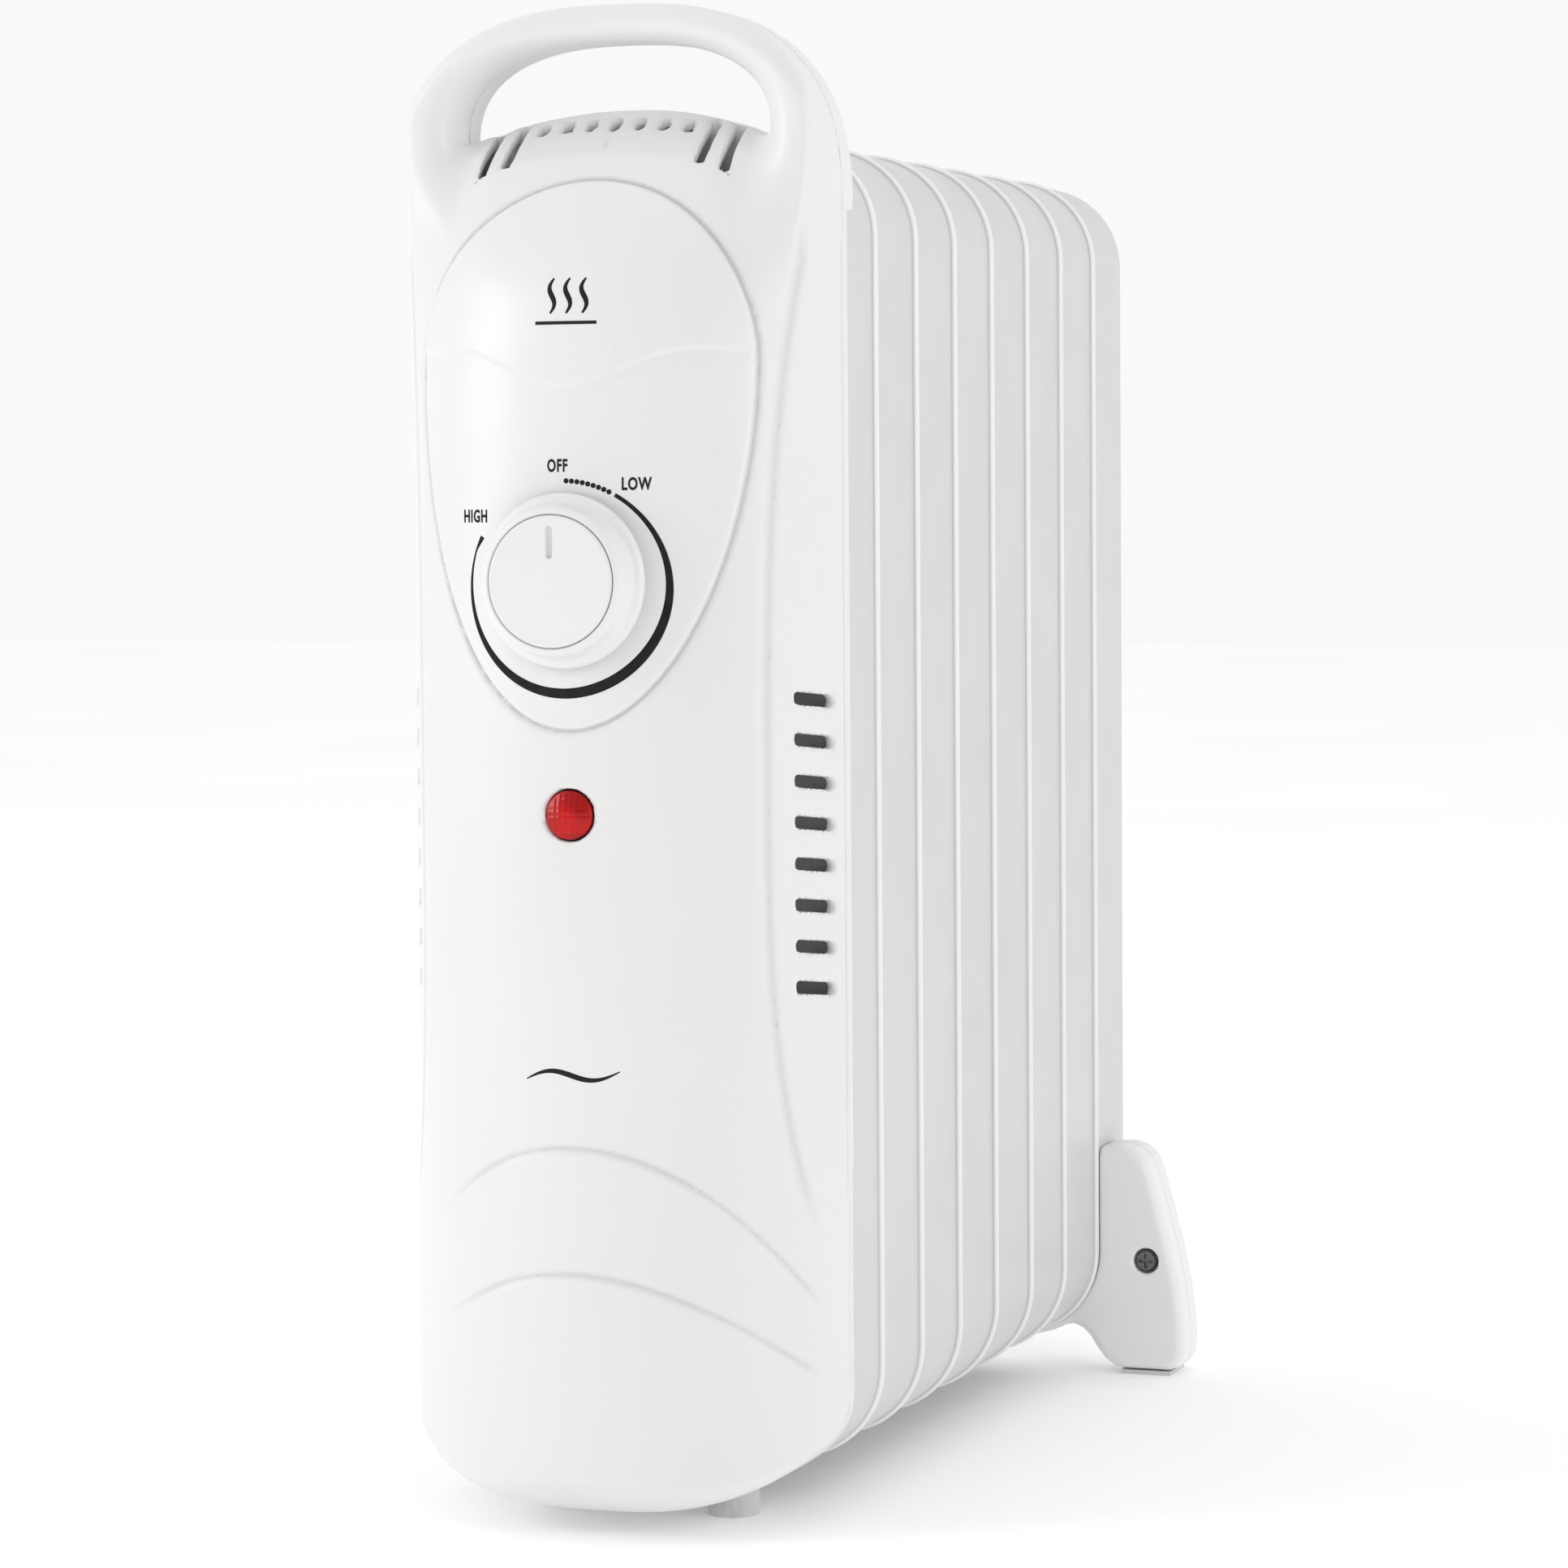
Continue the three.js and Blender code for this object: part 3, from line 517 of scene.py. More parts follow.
# ---- materials ---------------------------------------------------------------------------
class Shader:
    """A node material whose nodes are added one by one."""

    def __init__(self, name):
        self.material = bpy.data.materials.new(name)
        self.material.use_nodes = True
        self.tree = self.material.node_tree
        self.bsdf = self.tree.nodes["Principled BSDF"]
        self.coords = self.tree.nodes.new("ShaderNodeTexCoord").outputs["Object"]

    def link(self, source, socket):
        self.tree.links.new(source, socket)

    def noise(self, scale, detail=3.0, stretch=(1, 1, 1)):
        mapping = self.tree.nodes.new("ShaderNodeMapping")
        mapping.inputs["Scale"].default_value = stretch
        self.link(self.coords, mapping.inputs["Vector"])
        node = self.tree.nodes.new("ShaderNodeTexNoise")
        node.inputs["Scale"].default_value = scale
        node.inputs["Detail"].default_value = detail
        self.link(mapping.outputs["Vector"], node.inputs["Vector"])
        return node.outputs["Fac"]

    def ramp(self, source, stops):
        node = self.tree.nodes.new("ShaderNodeValToRGB")
        ramp = node.color_ramp
        for place, color in stops[2:]:
            ramp.elements.new(place).color = (*color, 1)
        for element, (place, color) in zip(ramp.elements, sorted(stops)):
            element.position = place
            element.color = (*color, 1)
        self.link(source, node.inputs["Fac"])
        return node.outputs["Color"]

    def mixed(self, color, other, amount):
        """The colour, going over to the other one where amount is near 1."""
        node = self.tree.nodes.new("ShaderNodeMix")
        node.data_type = "RGBA"
        node.inputs["B"].default_value = (*other, 1)
        self.link(color, node.inputs["A"])
        self.link(amount, node.inputs["Factor"])
        return node.outputs["Result"]

    def spread(self, source, low, high):
        node = self.tree.nodes.new("ShaderNodeMapRange")
        node.inputs["From Min"].default_value = 0.3
        node.inputs["From Max"].default_value = 0.7
        node.inputs["To Min"].default_value = low
        node.inputs["To Max"].default_value = high
        self.link(source, node.inputs["Value"])
        return node.outputs["Result"]

    def bump(self, *layers):
        """Bumps over each other, each (height, depth in metres)."""
        normal = None
        for height, depth in layers:
            node = self.tree.nodes.new("ShaderNodeBump")
            node.inputs["Strength"].default_value = 1.0
            node.inputs["Distance"].default_value = depth
            self.link(height, node.inputs["Height"])
            if normal is not None:
                self.link(normal, node.inputs["Normal"])
            normal = node.outputs["Normal"]
        self.link(normal, self.bsdf.inputs["Normal"])


def shade(color, factor):
    return tuple(c * factor for c in color)


def moulded_plastic(name, color, rough, texture=0.000012):
    """White moulded plastic: faint flow tone, fine moulded grain, uneven gloss, and painted shade that greys its
    grooves where the seam attribute is set.
    """
    s = Shader(name)
    tone = s.ramp(s.noise(14, 4), [(0.25, shade(color, 0.98)), (0.75, color)])
    # Painted shade: where the seam attribute is set, the base colour goes over to dark grey in the grooves.
    seam = s.tree.nodes.new("ShaderNodeAttribute")
    seam.attribute_name = "seam"
    s.link(s.mixed(tone, (0.2, 0.2, 0.2), seam.outputs["Fac"]), s.bsdf.inputs["Base Color"])
    s.link(s.spread(s.noise(70, 5), rough - 0.03, rough + 0.04), s.bsdf.inputs["Roughness"])
    s.bump((s.noise(9, 2), 0.0001), (s.noise(1500, 2), texture))
    s.bsdf.inputs["Specular IOR Level"].default_value = 0.45
    return s.material


def powder_coat(name, color):
    """White powder coat on pressed sheet: orange peel over slightly wavy steel, with a painted highlight on the rolled
    seams.
    """
    s = Shader(name)
    tone = s.noise(9, 5, (1, 1, 0.35))
    sheet = s.ramp(tone, [(0.2, shade(color, 0.95)), (0.8, color)])
    # Painted highlight: the rolled seams round each web are made lighter in colour, read from a point attribute.
    fold = s.tree.nodes.new("ShaderNodeAttribute")
    fold.attribute_name = "fold"
    s.link(s.mixed(sheet, (0.84, 0.84, 0.835), fold.outputs["Fac"]), s.bsdf.inputs["Base Color"])
    s.link(s.spread(s.noise(45, 4), 0.3, 0.46), s.bsdf.inputs["Roughness"])
    s.bump((s.noise(14, 2, (1, 1, 0.3)), 0.0007), (s.noise(520, 3), 0.00004))
    return s.material


def bare_metal(name, color, rough, grain=(1, 1, 18)):
    """Bare metal with a drawn grain and a little tarnish."""
    s = Shader(name)
    stain = s.noise(60, 5)
    s.link(s.ramp(stain, [(0.3, shade(color, 0.72)), (0.7, color)]), s.bsdf.inputs["Base Color"])
    s.link(s.spread(s.noise(300, 4, grain), rough - 0.08, rough + 0.14), s.bsdf.inputs["Roughness"])
    s.bump((s.noise(700, 3, grain), 0.00003))
    s.bsdf.inputs["Metallic"].default_value = 1.0
    return s.material


def dull(name, color, rough, grain_scale=700.0, depth=0.00005):
    """Phenolic, ceramic, rubber or sleeving: mottled, matt and slightly grainy."""
    s = Shader(name)
    s.link(s.ramp(s.noise(90, 5), [(0.3, shade(color, 0.8)), (0.7, color)]), s.bsdf.inputs["Base Color"])
    s.link(s.spread(s.noise(200, 3), rough - 0.1, min(1.0, rough + 0.1)), s.bsdf.inputs["Roughness"])
    s.bump((s.noise(grain_scale, 4), depth))
    return s.material


def ink(name, color):
    """Screen printing: slightly uneven dark ink."""
    s = Shader(name)
    s.link(s.ramp(s.noise(400, 3), [(0.3, color), (0.7, shade(color, 1.5))]), s.bsdf.inputs["Base Color"])
    s.link(s.spread(s.noise(500, 3), 0.6, 0.8), s.bsdf.inputs["Roughness"])
    s.bsdf.inputs["Specular IOR Level"].default_value = 0.12
    s.bump((s.noise(1800, 2), 0.00001))
    return s.material


def red_lens(name):
    """Clear red lamp lens, its red deeper in random patches."""
    s = Shader(name)
    deep = s.ramp(s.noise(160, 4), [(0.3, (0.3, 0.001, 0.001)), (0.7, (0.6, 0.002, 0.002))])
    s.link(deep, s.bsdf.inputs["Base Color"])
    s.link(s.spread(s.noise(250, 3), 0.08, 0.2), s.bsdf.inputs["Roughness"])
    s.bump((s.noise(300, 2), 0.00004))
    s.bsdf.inputs["Specular IOR Level"].default_value = 0.25
    s.bsdf.inputs["Coat Weight"].default_value = 0.15
    s.bsdf.inputs["Subsurface Weight"].default_value = 0.1
    s.bsdf.inputs["Subsurface Radius"].default_value = (0.004, 0.0005, 0.0004)
    return s.material


WHITE = (0.80, 0.80, 0.795)
LOOKS = {
    "cover_plastic": moulded_plastic("cover_plastic_look", WHITE, 0.36),
    "panel_plastic": moulded_plastic("panel_plastic_look", (0.81, 0.81, 0.805), 0.3, 0.000006),
    "knob_plastic": moulded_plastic("knob_plastic_look", (0.81, 0.81, 0.805), 0.33),
    "foot_plastic": moulded_plastic("foot_plastic_look", (0.86, 0.86, 0.855), 0.4, 0.00002),
    "fin_paint": powder_coat("fin_paint_look", (0.64, 0.64, 0.638)),
    "screw_steel": bare_metal("screw_steel_look", (0.2, 0.2, 0.21), 0.4),
    "bracket_steel": bare_metal("bracket_steel_look", (0.66, 0.67, 0.69), 0.36),
    "element_steel": bare_metal("element_steel_look", (0.42, 0.4, 0.37), 0.48, (1, 8, 1)),
    "brass": bare_metal("brass_look", (0.78, 0.6, 0.3), 0.3),
    "ceramic": dull("ceramic_look", (0.82, 0.77, 0.67), 0.75),
    "dark_plastic": dull("dark_plastic_look", (0.05, 0.05, 0.055), 0.55),
    "gland_plastic": dull("gland_plastic_look", (0.78, 0.78, 0.77), 0.5),
    "wire_sleeve": dull("wire_sleeve_look", (0.72, 0.69, 0.62), 0.85, 2500.0, 0.0002),
    "gasket_rubber": dull("gasket_rubber_look", (0.07, 0.07, 0.07), 0.85),
    "pad_rubber": dull("pad_rubber_look", (0.72, 0.72, 0.71), 0.8),
    "lamp_red": red_lens("lamp_red_look"),
}
INK = ink("printed_ink_look", (0.014, 0.014, 0.016))

SLOT_OF = {part["node"]: part["material_slot"] for part in frame["record"]["subparts"]}
for node_name, node in frame["nodes"].items():
    node.data.materials.clear()
    node.data.materials.append(LOOKS[SLOT_OF[node_name]])


# ---- control housing ---------------------------------------------------------------------
def drawn_onto(points, line, slope):
    """Moves the front face's points lying within half a cell of a line onto it, so that it stays crisp."""
    x, y, z = points.T
    distance, gx, gz = line(x, z), slope(x, z)[0], slope(x, z)[1]
    near = (np.abs(distance) < 0.46) & (RIM_Y - y > 6)
    px, pz = x[near] - (distance * gx)[near], z[near] - (distance * gz)[near]
    points[near] = np.stack([px, RIM_Y - front_surface(px, pz), pz], -1)
    return points


def slope_of(line):
    """Step in x and z that takes a front-view field up by one."""
    def slope(x, z, h=0.05):
        gx, gz = (line(x + h, z) - line(x - h, z)) / (2 * h), (line(x, z + h) - line(x, z - h)) / (2 * h)
        size = np.maximum(gx**2 + gz**2, 0.5)
        return gx / size, gz / size
    return slope


def front_cover():
    points, faces = skin(front_field, (-63, -143, 3), (63, -98, 391), 0.9)
    for line in (egg_distance, crease_distance, upper_arc, lower_arc):
        points = drawn_onto(points, line, slope_of(line))
    obj = mesh_object("front_cover_skin", points, faces, LOOKS["cover_plastic"], sharp_deg=50)
    orient(obj)
    x, y, z = (np.array([v.co for v in obj.data.vertices]) / MM + (0, 0, DATUM)).T
    # Painted shade: the grooves round the panel, along the creases and over the arcs are darkened in colour through
    # the seam attribute.
    egg_groove_shade = np.exp(-((egg_distance(x, z) / 0.55) ** 2))
    painted_groove_shade = 0.34 * egg_groove_shade + 0.2 * crease_shape(x, z) + 0.2 * arc_shape(x, z)
    seam = obj.data.attributes.new("seam", "FLOAT", "POINT")
    seam.data.foreach_set("value", (np.clip(painted_groove_shade, 0, 1) * (RIM_Y - y > 4)).astype(np.float32))
    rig.replaces(obj, "front_cover")
    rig.slot(obj, "cover_plastic")


def back_cover():
    obj = skin_object("back_cover_skin", back_field, (-63, -101, 3), (63, -83, 391), 1.0,
                      LOOKS["cover_plastic"], sharp_deg=50)
    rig.replaces(obj, "back_cover")
    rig.slot(obj, "cover_plastic")


front_cover()
back_cover()


# ---- control panel, dial and mark --------------------------------------------------------
PANEL_HUB = 280.0


def wave_z(x):
    """Height of the wavy step across the panel."""
    return 301.9 - 9.2 * 0.5 * (1 + np.cos(np.pi * np.clip(x / 31, -1, 1)))


def control_panel():
    turns, rings = 360, 150
    angle = np.linspace(0, 2 * math.pi, turns, endpoint=False)
    rim_x = EGG_HALF * np.cos(angle)
    rim_z = EGG_Z + np.where(np.sin(angle) > 0, EGG_UP, EGG_DOWN) * np.sin(angle)
    reach = np.hypot(rim_x, rim_z - PANEL_HUB)
    share = np.concatenate([1 - np.linspace(0, 0.035, 12) ** 1.0, np.linspace(0.96, 0.004, rings)])
    x = share[:, None] * rim_x
    z = PANEL_HUB + share[:, None] * (rim_z - PANEL_HUB)
    inside = (1 - share[:, None]) * reach
    edge = smoothstep(inside / 0.9)
    step = smoothstep((z - wave_z(x)) / 1.3 + 0.5)
    top = on_front(x, z, -0.75 + 1.1 * edge + 0.75 * step * smoothstep(inside / 1.6))
    under = on_front(x, z, np.full_like(x, -1.6))
    rows = len(share)
    points = np.concatenate([top.reshape(-1, 3), under.reshape(-1, 3)])
    faces = grid_faces(rows, turns, True)
    i = np.arange(turns)
    j = (i + 1) % turns
    wall = np.stack([i, j, j + rows * turns, i + rows * turns], -1)
    caps = [list((rows - 1) * turns + i), list((2 * rows - 1) * turns + i)]
    obj = mesh_object("control_panel_skin", points, [*faces, *(faces + rows * turns), *wall, *caps],
                      LOOKS["panel_plastic"], sharp_deg=50)
    outward(obj)
    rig.replaces(obj, "control_panel")
    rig.slot(obj, "panel_plastic")


def panel_lift(x, z):
    """How far the panel's surface stands above the housing's at (x, z)."""
    return 0.35 + 0.75 * smoothstep((z - wave_z(x)) / 1.3 + 0.5)


def print_strip(name, x, z, width, lift=0.05, on_panel=True):
    """Printed stroke of varying width along points (x, z), laid on the front surface."""
    dx, dz = np.gradient(x), np.gradient(z)
    length = np.hypot(dx, dz)
    side = np.stack([-dz / length, dx / length], -1)
    across = np.linspace(-0.5, 0.5, 5)
    px = x[None, :] + across[:, None] * width * side[:, 0]
    pz = z[None, :] + across[:, None] * width * side[:, 1]
    base = panel_lift(px, pz) if on_panel else 0.0
    upper = on_front(px, pz, base + lift).reshape(-1, 3)
    lower = on_front(px, pz, base + lift - 0.12 + np.zeros_like(px)).reshape(-1, 3)
    faces = grid_faces(5, len(x))
    n = len(upper)
    k = len(x)
    loop = [*range(k), *range(2 * k - 1, 5 * k, k), *range(5 * k - 2, 4 * k - 1, -1), *range(3 * k, 0, -k)]
    walls = [(a, b, b + n, a + n) for a, b in zip(loop, loop[1:] + loop[:1])]
    obj = mesh_object(name, np.concatenate([upper, lower]), [*faces, *(faces + n), *walls], INK)
    outward(obj)
    return obj


def dial():
    """Printed scale round the knob: dots from OFF, then a band that swells toward the middle of its turn."""
    centre_x, centre_z, radius = -0.6, KNOB_Z - 2.0, 27.1
    angle = np.radians(np.linspace(60, 60 - 269, 200))
    share = np.linspace(0, 1, 200)
    width = 1.0 + 1.9 * np.sin(np.pi * share) ** 1.6 - 0.6 * share + 0.8 * smoothstep((share - 0.965) / 0.035)
    r = radius - width / 2
    print_strip("dial_band", centre_x + r * np.cos(angle), centre_z + r * np.sin(angle), width)
    for i, turn in enumerate(np.radians(np.linspace(88, 63.5, 9))):
        x = centre_x + (radius - 0.5) * math.cos(turn) + np.linspace(-0.62, 0.62, 5)
        z = np.full(5, centre_z + (radius - 0.5) * math.sin(turn))
        print_strip(f"dial_dot_{i + 1}", x, z, 1.25 * np.sqrt(1 - np.linspace(-0.92, 0.92, 5) ** 2) + 0.05)


def print_word(name, text, x, z, height):
    """A generic dial word, cut fine and laid on the panel."""
    curve = bpy.data.curves.new(name, "FONT")
    curve.body = text
    curve.align_x = "CENTER"
    curve.align_y = "CENTER"
    curve.size = height * 1.38
    curve.offset = 0.14
    curve.resolution_u = 3
    curve.space_character = 1.12
    flat = bpy.data.objects.new(name + "_flat", curve)
    bpy.context.scene.collection.objects.link(flat)
    bpy.context.view_layer.update()
    mesh = bpy.data.meshes.new_from_object(flat)
    bpy.data.objects.remove(flat)
    work = bmesh.new()
    work.from_mesh(mesh)
    bmesh.ops.triangulate(work, faces=work.faces)
    bmesh.ops.subdivide_edges(work, edges=[e for e in work.edges if e.calc_length() > 1], cuts=2)
    bmesh.ops.triangulate(work, faces=work.faces)
    grown = bmesh.ops.extrude_face_region(work, geom=list(work.faces))
    lifted = {v for v in grown["geom"] if isinstance(v, bmesh.types.BMVert)}
    px = np.array([v.co.x * 0.68 + x for v in work.verts])
    pz = np.array([v.co.y + z for v in work.verts])
    lift = panel_lift(px, pz) + np.array([0.05 if v in lifted else -0.08 for v in work.verts])
    for vertex, place in zip(work.verts, on_front(px, pz, lift)):
        vertex.co = Vector((place - (0, 0, DATUM)) * MM)
    bmesh.ops.recalc_face_normals(work, faces=work.faces)
    work.to_mesh(mesh)
    work.free()
    mesh.materials.clear()
    mesh.materials.append(INK)
    obj = bpy.data.objects.new(name, mesh)
    bpy.context.scene.collection.objects.link(obj)
    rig.ride(obj, "heater")


def heat_mark():
    """A generic mark in place of a maker's: three rising heat waves over a line."""
    t = np.linspace(0, 1, 40)
    for i, x in enumerate((-4.2, 0.0, 4.2)):
        sway = 0.9 * np.sin(2 * np.pi * t)
        print_strip(f"heat_wave_{i + 1}", x + sway, 310.5 + 8.5 * t, 0.5 + 0.75 * np.sin(np.pi * t))
    print_strip("heat_wave_base", np.linspace(-8, 8, 40), np.full(40, 308.2), np.full(40, 0.8))


def flourish():
    """A plain tapered stroke where the housing carries a decorative word."""
    t = np.linspace(0, 1, 60)
    x = -12.5 + 25 * t
    z = 121 + 1.6 * np.sin(2 * np.pi * t) + 2.5 * t
    print_strip("flourish", x, z, 0.25 + 1.1 * np.sin(np.pi * t), on_panel=False)


control_panel()
dial()
print_word("dial_word_off", "OFF", -2.0, KNOB_Z + 28.2, 3.1)
print_word("dial_word_low", "LOW", 17.9, KNOB_Z + 23.6, 3.1)
print_word("dial_word_high", "HIGH", -26.0, KNOB_Z + 15.8, 3.1)
heat_mark()
flourish()


# ---- knob and lamp -----------------------------------------------------------------------
PANEL_Y = RIM_Y - DEPTH
KNOB_BACK = PANEL_Y - 0.6
KNOB_RISE = 8.6          # from the skirt's back to the seat of the face disc
knob = turned("knob_skin", rounded_profile([
    (0, KNOB_BACK, 0), (13, KNOB_BACK, 0.4), (13, KNOB_BACK - 1.3, 0.3), (21.7, KNOB_BACK - 1.3, 0.3),
    (21.7, KNOB_BACK - 3.0, 1.1), (19.4, KNOB_BACK - 4.0, 0.9), (18.3, KNOB_BACK - KNOB_RISE - 0.9, 1.3),
    (16.7, KNOB_BACK - KNOB_RISE - 1.4, 0.4), (16.4, KNOB_BACK - KNOB_RISE - 0.4, 0.1),
    (15.6, KNOB_BACK - KNOB_RISE - 0.2, 0), (0, KNOB_BACK - KNOB_RISE, 0)]), (0, KNOB_Z),
    LOOKS["knob_plastic"], "control_knob", steps=160, sharp_deg=60)
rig.replaces(knob, "knob")
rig.slot(knob, "knob_plastic")


def knob_face_field(x, y, z):
    """The knob's face disc, slightly domed, with a pointer groove."""
    r = np.hypot(x, z - KNOB_Z)
    g = KNOB_BACK - KNOB_RISE - 0.3 - y
    disc = round_max(r - 16.25, g - (1.75 - (r / 16) ** 2 * 0.35), 0.5)
    disc = np.maximum(disc, -g)
    groove = np.hypot(x, np.maximum(np.abs(z - KNOB_Z - 9.6) - 3.0, 0)) - 0.95
    return round_max(disc, -round_max(groove, 0.55 - g, 0.2), 0.25)


face = skin_object("knob_face_skin", knob_face_field, (-17, -154, KNOB_Z - 17), (17, -148, KNOB_Z + 17), 0.3,
                   LOOKS["knob_plastic"], "control_knob", sharp_deg=50)
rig.replaces(face, "knob_face")
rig.slot(face, "knob_plastic")


def lens_field(x, y, z):
    """The lamp's lens: a low dome cut with a pattern of small pyramids."""
    r = np.hypot(x, z - LAMP_Z)
    g = PANEL_Y - y
    facet = np.abs((x / 1.5) % 1 - 0.5) + np.abs(((z - LAMP_Z) / 1.5) % 1 - 0.5)
    dome = 1.5 - (r / 6) ** 2 * 1.3 - 0.16 * facet
    return round_max(round_max(r - 6.1, (g - dome) * 0.8, 0.4), -(g + 3), 0.2)


lens = skin_object("lamp_lens_skin", lens_field, (-7, -142, LAMP_Z - 7), (7, -136, LAMP_Z + 7), 0.2,
                   LOOKS["lamp_red"], sharp_deg=20)
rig.replaces(lens, "lamp_lens")
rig.slot(lens, "lamp_red")


# ---- oil-filled fins ---------------------------------------------------------------------
def outline_path(start_gap=None, corner_steps=14, side_steps=34, side=1):
    """Points (x, z) and outward normals round the fins' outline; with a gap, only one side's run."""
    r = FIN_CORNER
    cx, low, high = FIN_HALF - r, FIN_LOW + r, FIN_HIGH - r
    turn = np.linspace(0, math.pi / 2, corner_steps)
    runs = []

    def straight(a, b, normal, count):
        t = np.linspace(0, 1, count)[:, None]
        runs.append(np.hstack([np.array(a) * (1 - t) + np.array(b) * t, np.tile(normal, (count, 1))]))

    def corner(x, z, start):
        c, s = np.cos(start - turn), np.sin(start - turn)
        runs.append(np.stack([x + r * c, z + r * s, c, s], -1))

    straight((start_gap or 0, FIN_HIGH), (cx, FIN_HIGH), (0, 1), 6)
    corner(cx, high, math.pi / 2)
    straight((FIN_HALF, high), (FIN_HALF, low), (1, 0), side_steps)
    corner(cx, low, 0)
    straight((cx, FIN_LOW), (start_gap or 0, FIN_LOW), (0, -1), 6)
    path = np.concatenate(runs)
    if start_gap is None:
        path = np.concatenate([path, path[::-1] * (-1, 1, -1, 1)])
    keep = np.append(True, np.hypot(*np.diff(path[:, :2], axis=0).T) > 1e-6)
    path = path[keep]
    if start_gap is None and np.hypot(*(path[0, :2] - path[-1, :2])) < 1e-6:
        path = path[:-1]
    return path * (side, 1, side, 1)


def sweep(path, profile, closed):
    """Points and faces of a closed profile of (outward, y) pairs carried along the path."""
    n, m = len(path), len(profile)
    out = np.array([r for r, _ in profile])
    y = np.array([v for _, v in profile])
    x = path[:, None, 0] + path[:, None, 2] * out
    z = path[:, None, 1] + path[:, None, 3] * out
    points = np.stack([x, np.tile(y, (n, 1)), z], -1).reshape(-1, 3)
    rows = np.arange(n if closed else n - 1)
    faces = []
    for i in rows:
        j = (i + 1) % n
        faces += [(i * m + k, j * m + k, j * m + (k + 1) % m, i * m + (k + 1) % m) for k in range(m)]
    if not closed:
        faces += [tuple(range(m)), tuple(range((n - 1) * m, n * m))]
    return points, faces


MANIFOLDS = (55, 308)    # heights of the two oil channels that join the fins


def web_relief(x, z):
    """Half thickness of a fin's web: flat sheet with pressed channels and two oil manifolds."""
    height = np.full_like(x, 1.0)
    for centre in (-36, -12, 12, 36):
        inside = 7.6 - np.hypot(x - centre, np.maximum(np.abs(z - 182) - 110, 0))
        height = np.maximum(height, 1 + 4.0 * smoothstep(inside / 4.5))
    for middle in MANIFOLDS:
        inside = 13.4 - np.hypot(np.maximum(np.abs(x) - 33, 0), z - middle)
        height = np.maximum(height, 1 + 4.6 * smoothstep(inside / 5.5))
    return height


def web_sheets(y, rings=40):
    """Front and rear sheet of a web, running in from its rolled seam."""
    path = outline_path(corner_steps=8, side_steps=64)
    n = len(path)
    share = np.linspace(1, 0, rings)[:, None]
    base_x, base_z = path[:, 0] - 2 * path[:, 2], path[:, 1] - 2 * path[:, 3]
    spine = np.clip(base_z, FIN_LOW + 30, FIN_HIGH - 30)
    x = share * base_x
    z = spine + share * (base_z - spine)
    relief = web_relief(x, z)
    sheets = [np.stack([x, y + s * relief, z], -1).reshape(-1, 3) for s in (-1, 1)]
    faces = grid_faces(rings, n, True)
    i = np.arange(n)
    wall = np.stack([i, (i + 1) % n, (i + 1) % n + rings * n, i + rings * n], -1)
    return np.concatenate(sheets), np.concatenate([faces, faces + rings * n, wall])


def collar(y0, y1, z, radius=19.0):
    """A pressed oil collar between two webs."""
    steps = 48
    angle = np.linspace(0, 2 * math.pi, steps, endpoint=False)
    way = 1 if y1 > y0 else -1
    profile = [(radius + 3, y0), (radius + 0.6, y0 + 0.9 * way), (radius, y0 + 2.6 * way),
               (radius, y1 - way), (radius - 0.8, y1)]
    points = [(r * math.cos(a), y, z + r * math.sin(a)) for r, y in profile for a in angle]
    faces = [list(f) for f in grid_faces(len(profile), steps, True)]
    faces += [list(range(steps)), list(range(len(points) - steps, len(points)))]
    return np.array(points), faces


def gather(parts):
    """One list of points and faces from several."""
    points, faces, start = [], [], 0
    for p, f in parts:
        points.append(np.asarray(p, float))
        faces += [[int(v) + start for v in face] for face in f]
        start += len(p)
    return np.concatenate(points), faces


def flange_profile(y0, y1, sheet=1.4, sink=0.5):
    """Section of a fin's side flange: it leans in slightly toward its rear edge."""
    t = np.linspace(0, 1, 9)
    outer = [(0.3 - sink * v**1.4, y0 + (y1 - y0) * v) for v in t]
    inner = [(r - sheet, y) for r, y in outer[::-1]]
    return outer + inner


def bead_profile(y, proud=1.0, half=1.5):
    """Section of the rolled seam round a web."""
    t = np.linspace(-math.pi / 2, math.pi / 2, 9)
    nose = [(proud - half + half * math.cos(a), y + half * math.sin(a)) for a in t]
    return [(-4.5, y - half * 0.8), *nose, (-4.5, y + half * 0.8)]


def fin(k):
    """One fin: its rolled seam, two sheets, side flanges and oil collars, the seam marked for a painted highlight."""
    y = FIN_1_Y + PITCH * k
    last = k == FINS - 1
    end = FLANGE_END if last else y + PITCH - 1.5
    parts = [sweep(outline_path(), bead_profile(y), True), web_sheets(y)]
    parts += [sweep(outline_path(34, side=s), flange_profile(y + 0.6, end), False) for s in (-1, 1)]
    for z in MANIFOLDS:
        back_end = y + (11 if last else PITCH / 2 - 0.2)
        front_end = y - (8 if k == 0 and z == MANIFOLDS[1] else PITCH / 2 - 0.2)
        parts += [collar(y + 5.2, back_end, z), collar(y - 5.2, front_end, z)]
    obj = mesh_object(f"fin_{k + 1}_skin", *gather(parts), LOOKS["fin_paint"], sharp_deg=40)
    outward(obj)
    # Painted highlight: the rolled seam's vertices are marked so that the paint is lighter there.
    where = np.array([v.co for v in obj.data.vertices]) / MM
    rim = fin_rect_field(where[:, 0], where[:, 2] + DATUM, 0) > 0.32
    fold = obj.data.attributes.new("fold", "FLOAT", "POINT")
    fold.data.foreach_set("value", (rim & (np.abs(where[:, 1] - y) < 1.6)).astype(np.float32))
    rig.replaces(obj, f"fin_{k + 1}")
    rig.slot(obj, "fin_paint")


for k in range(FINS):
    fin(k)


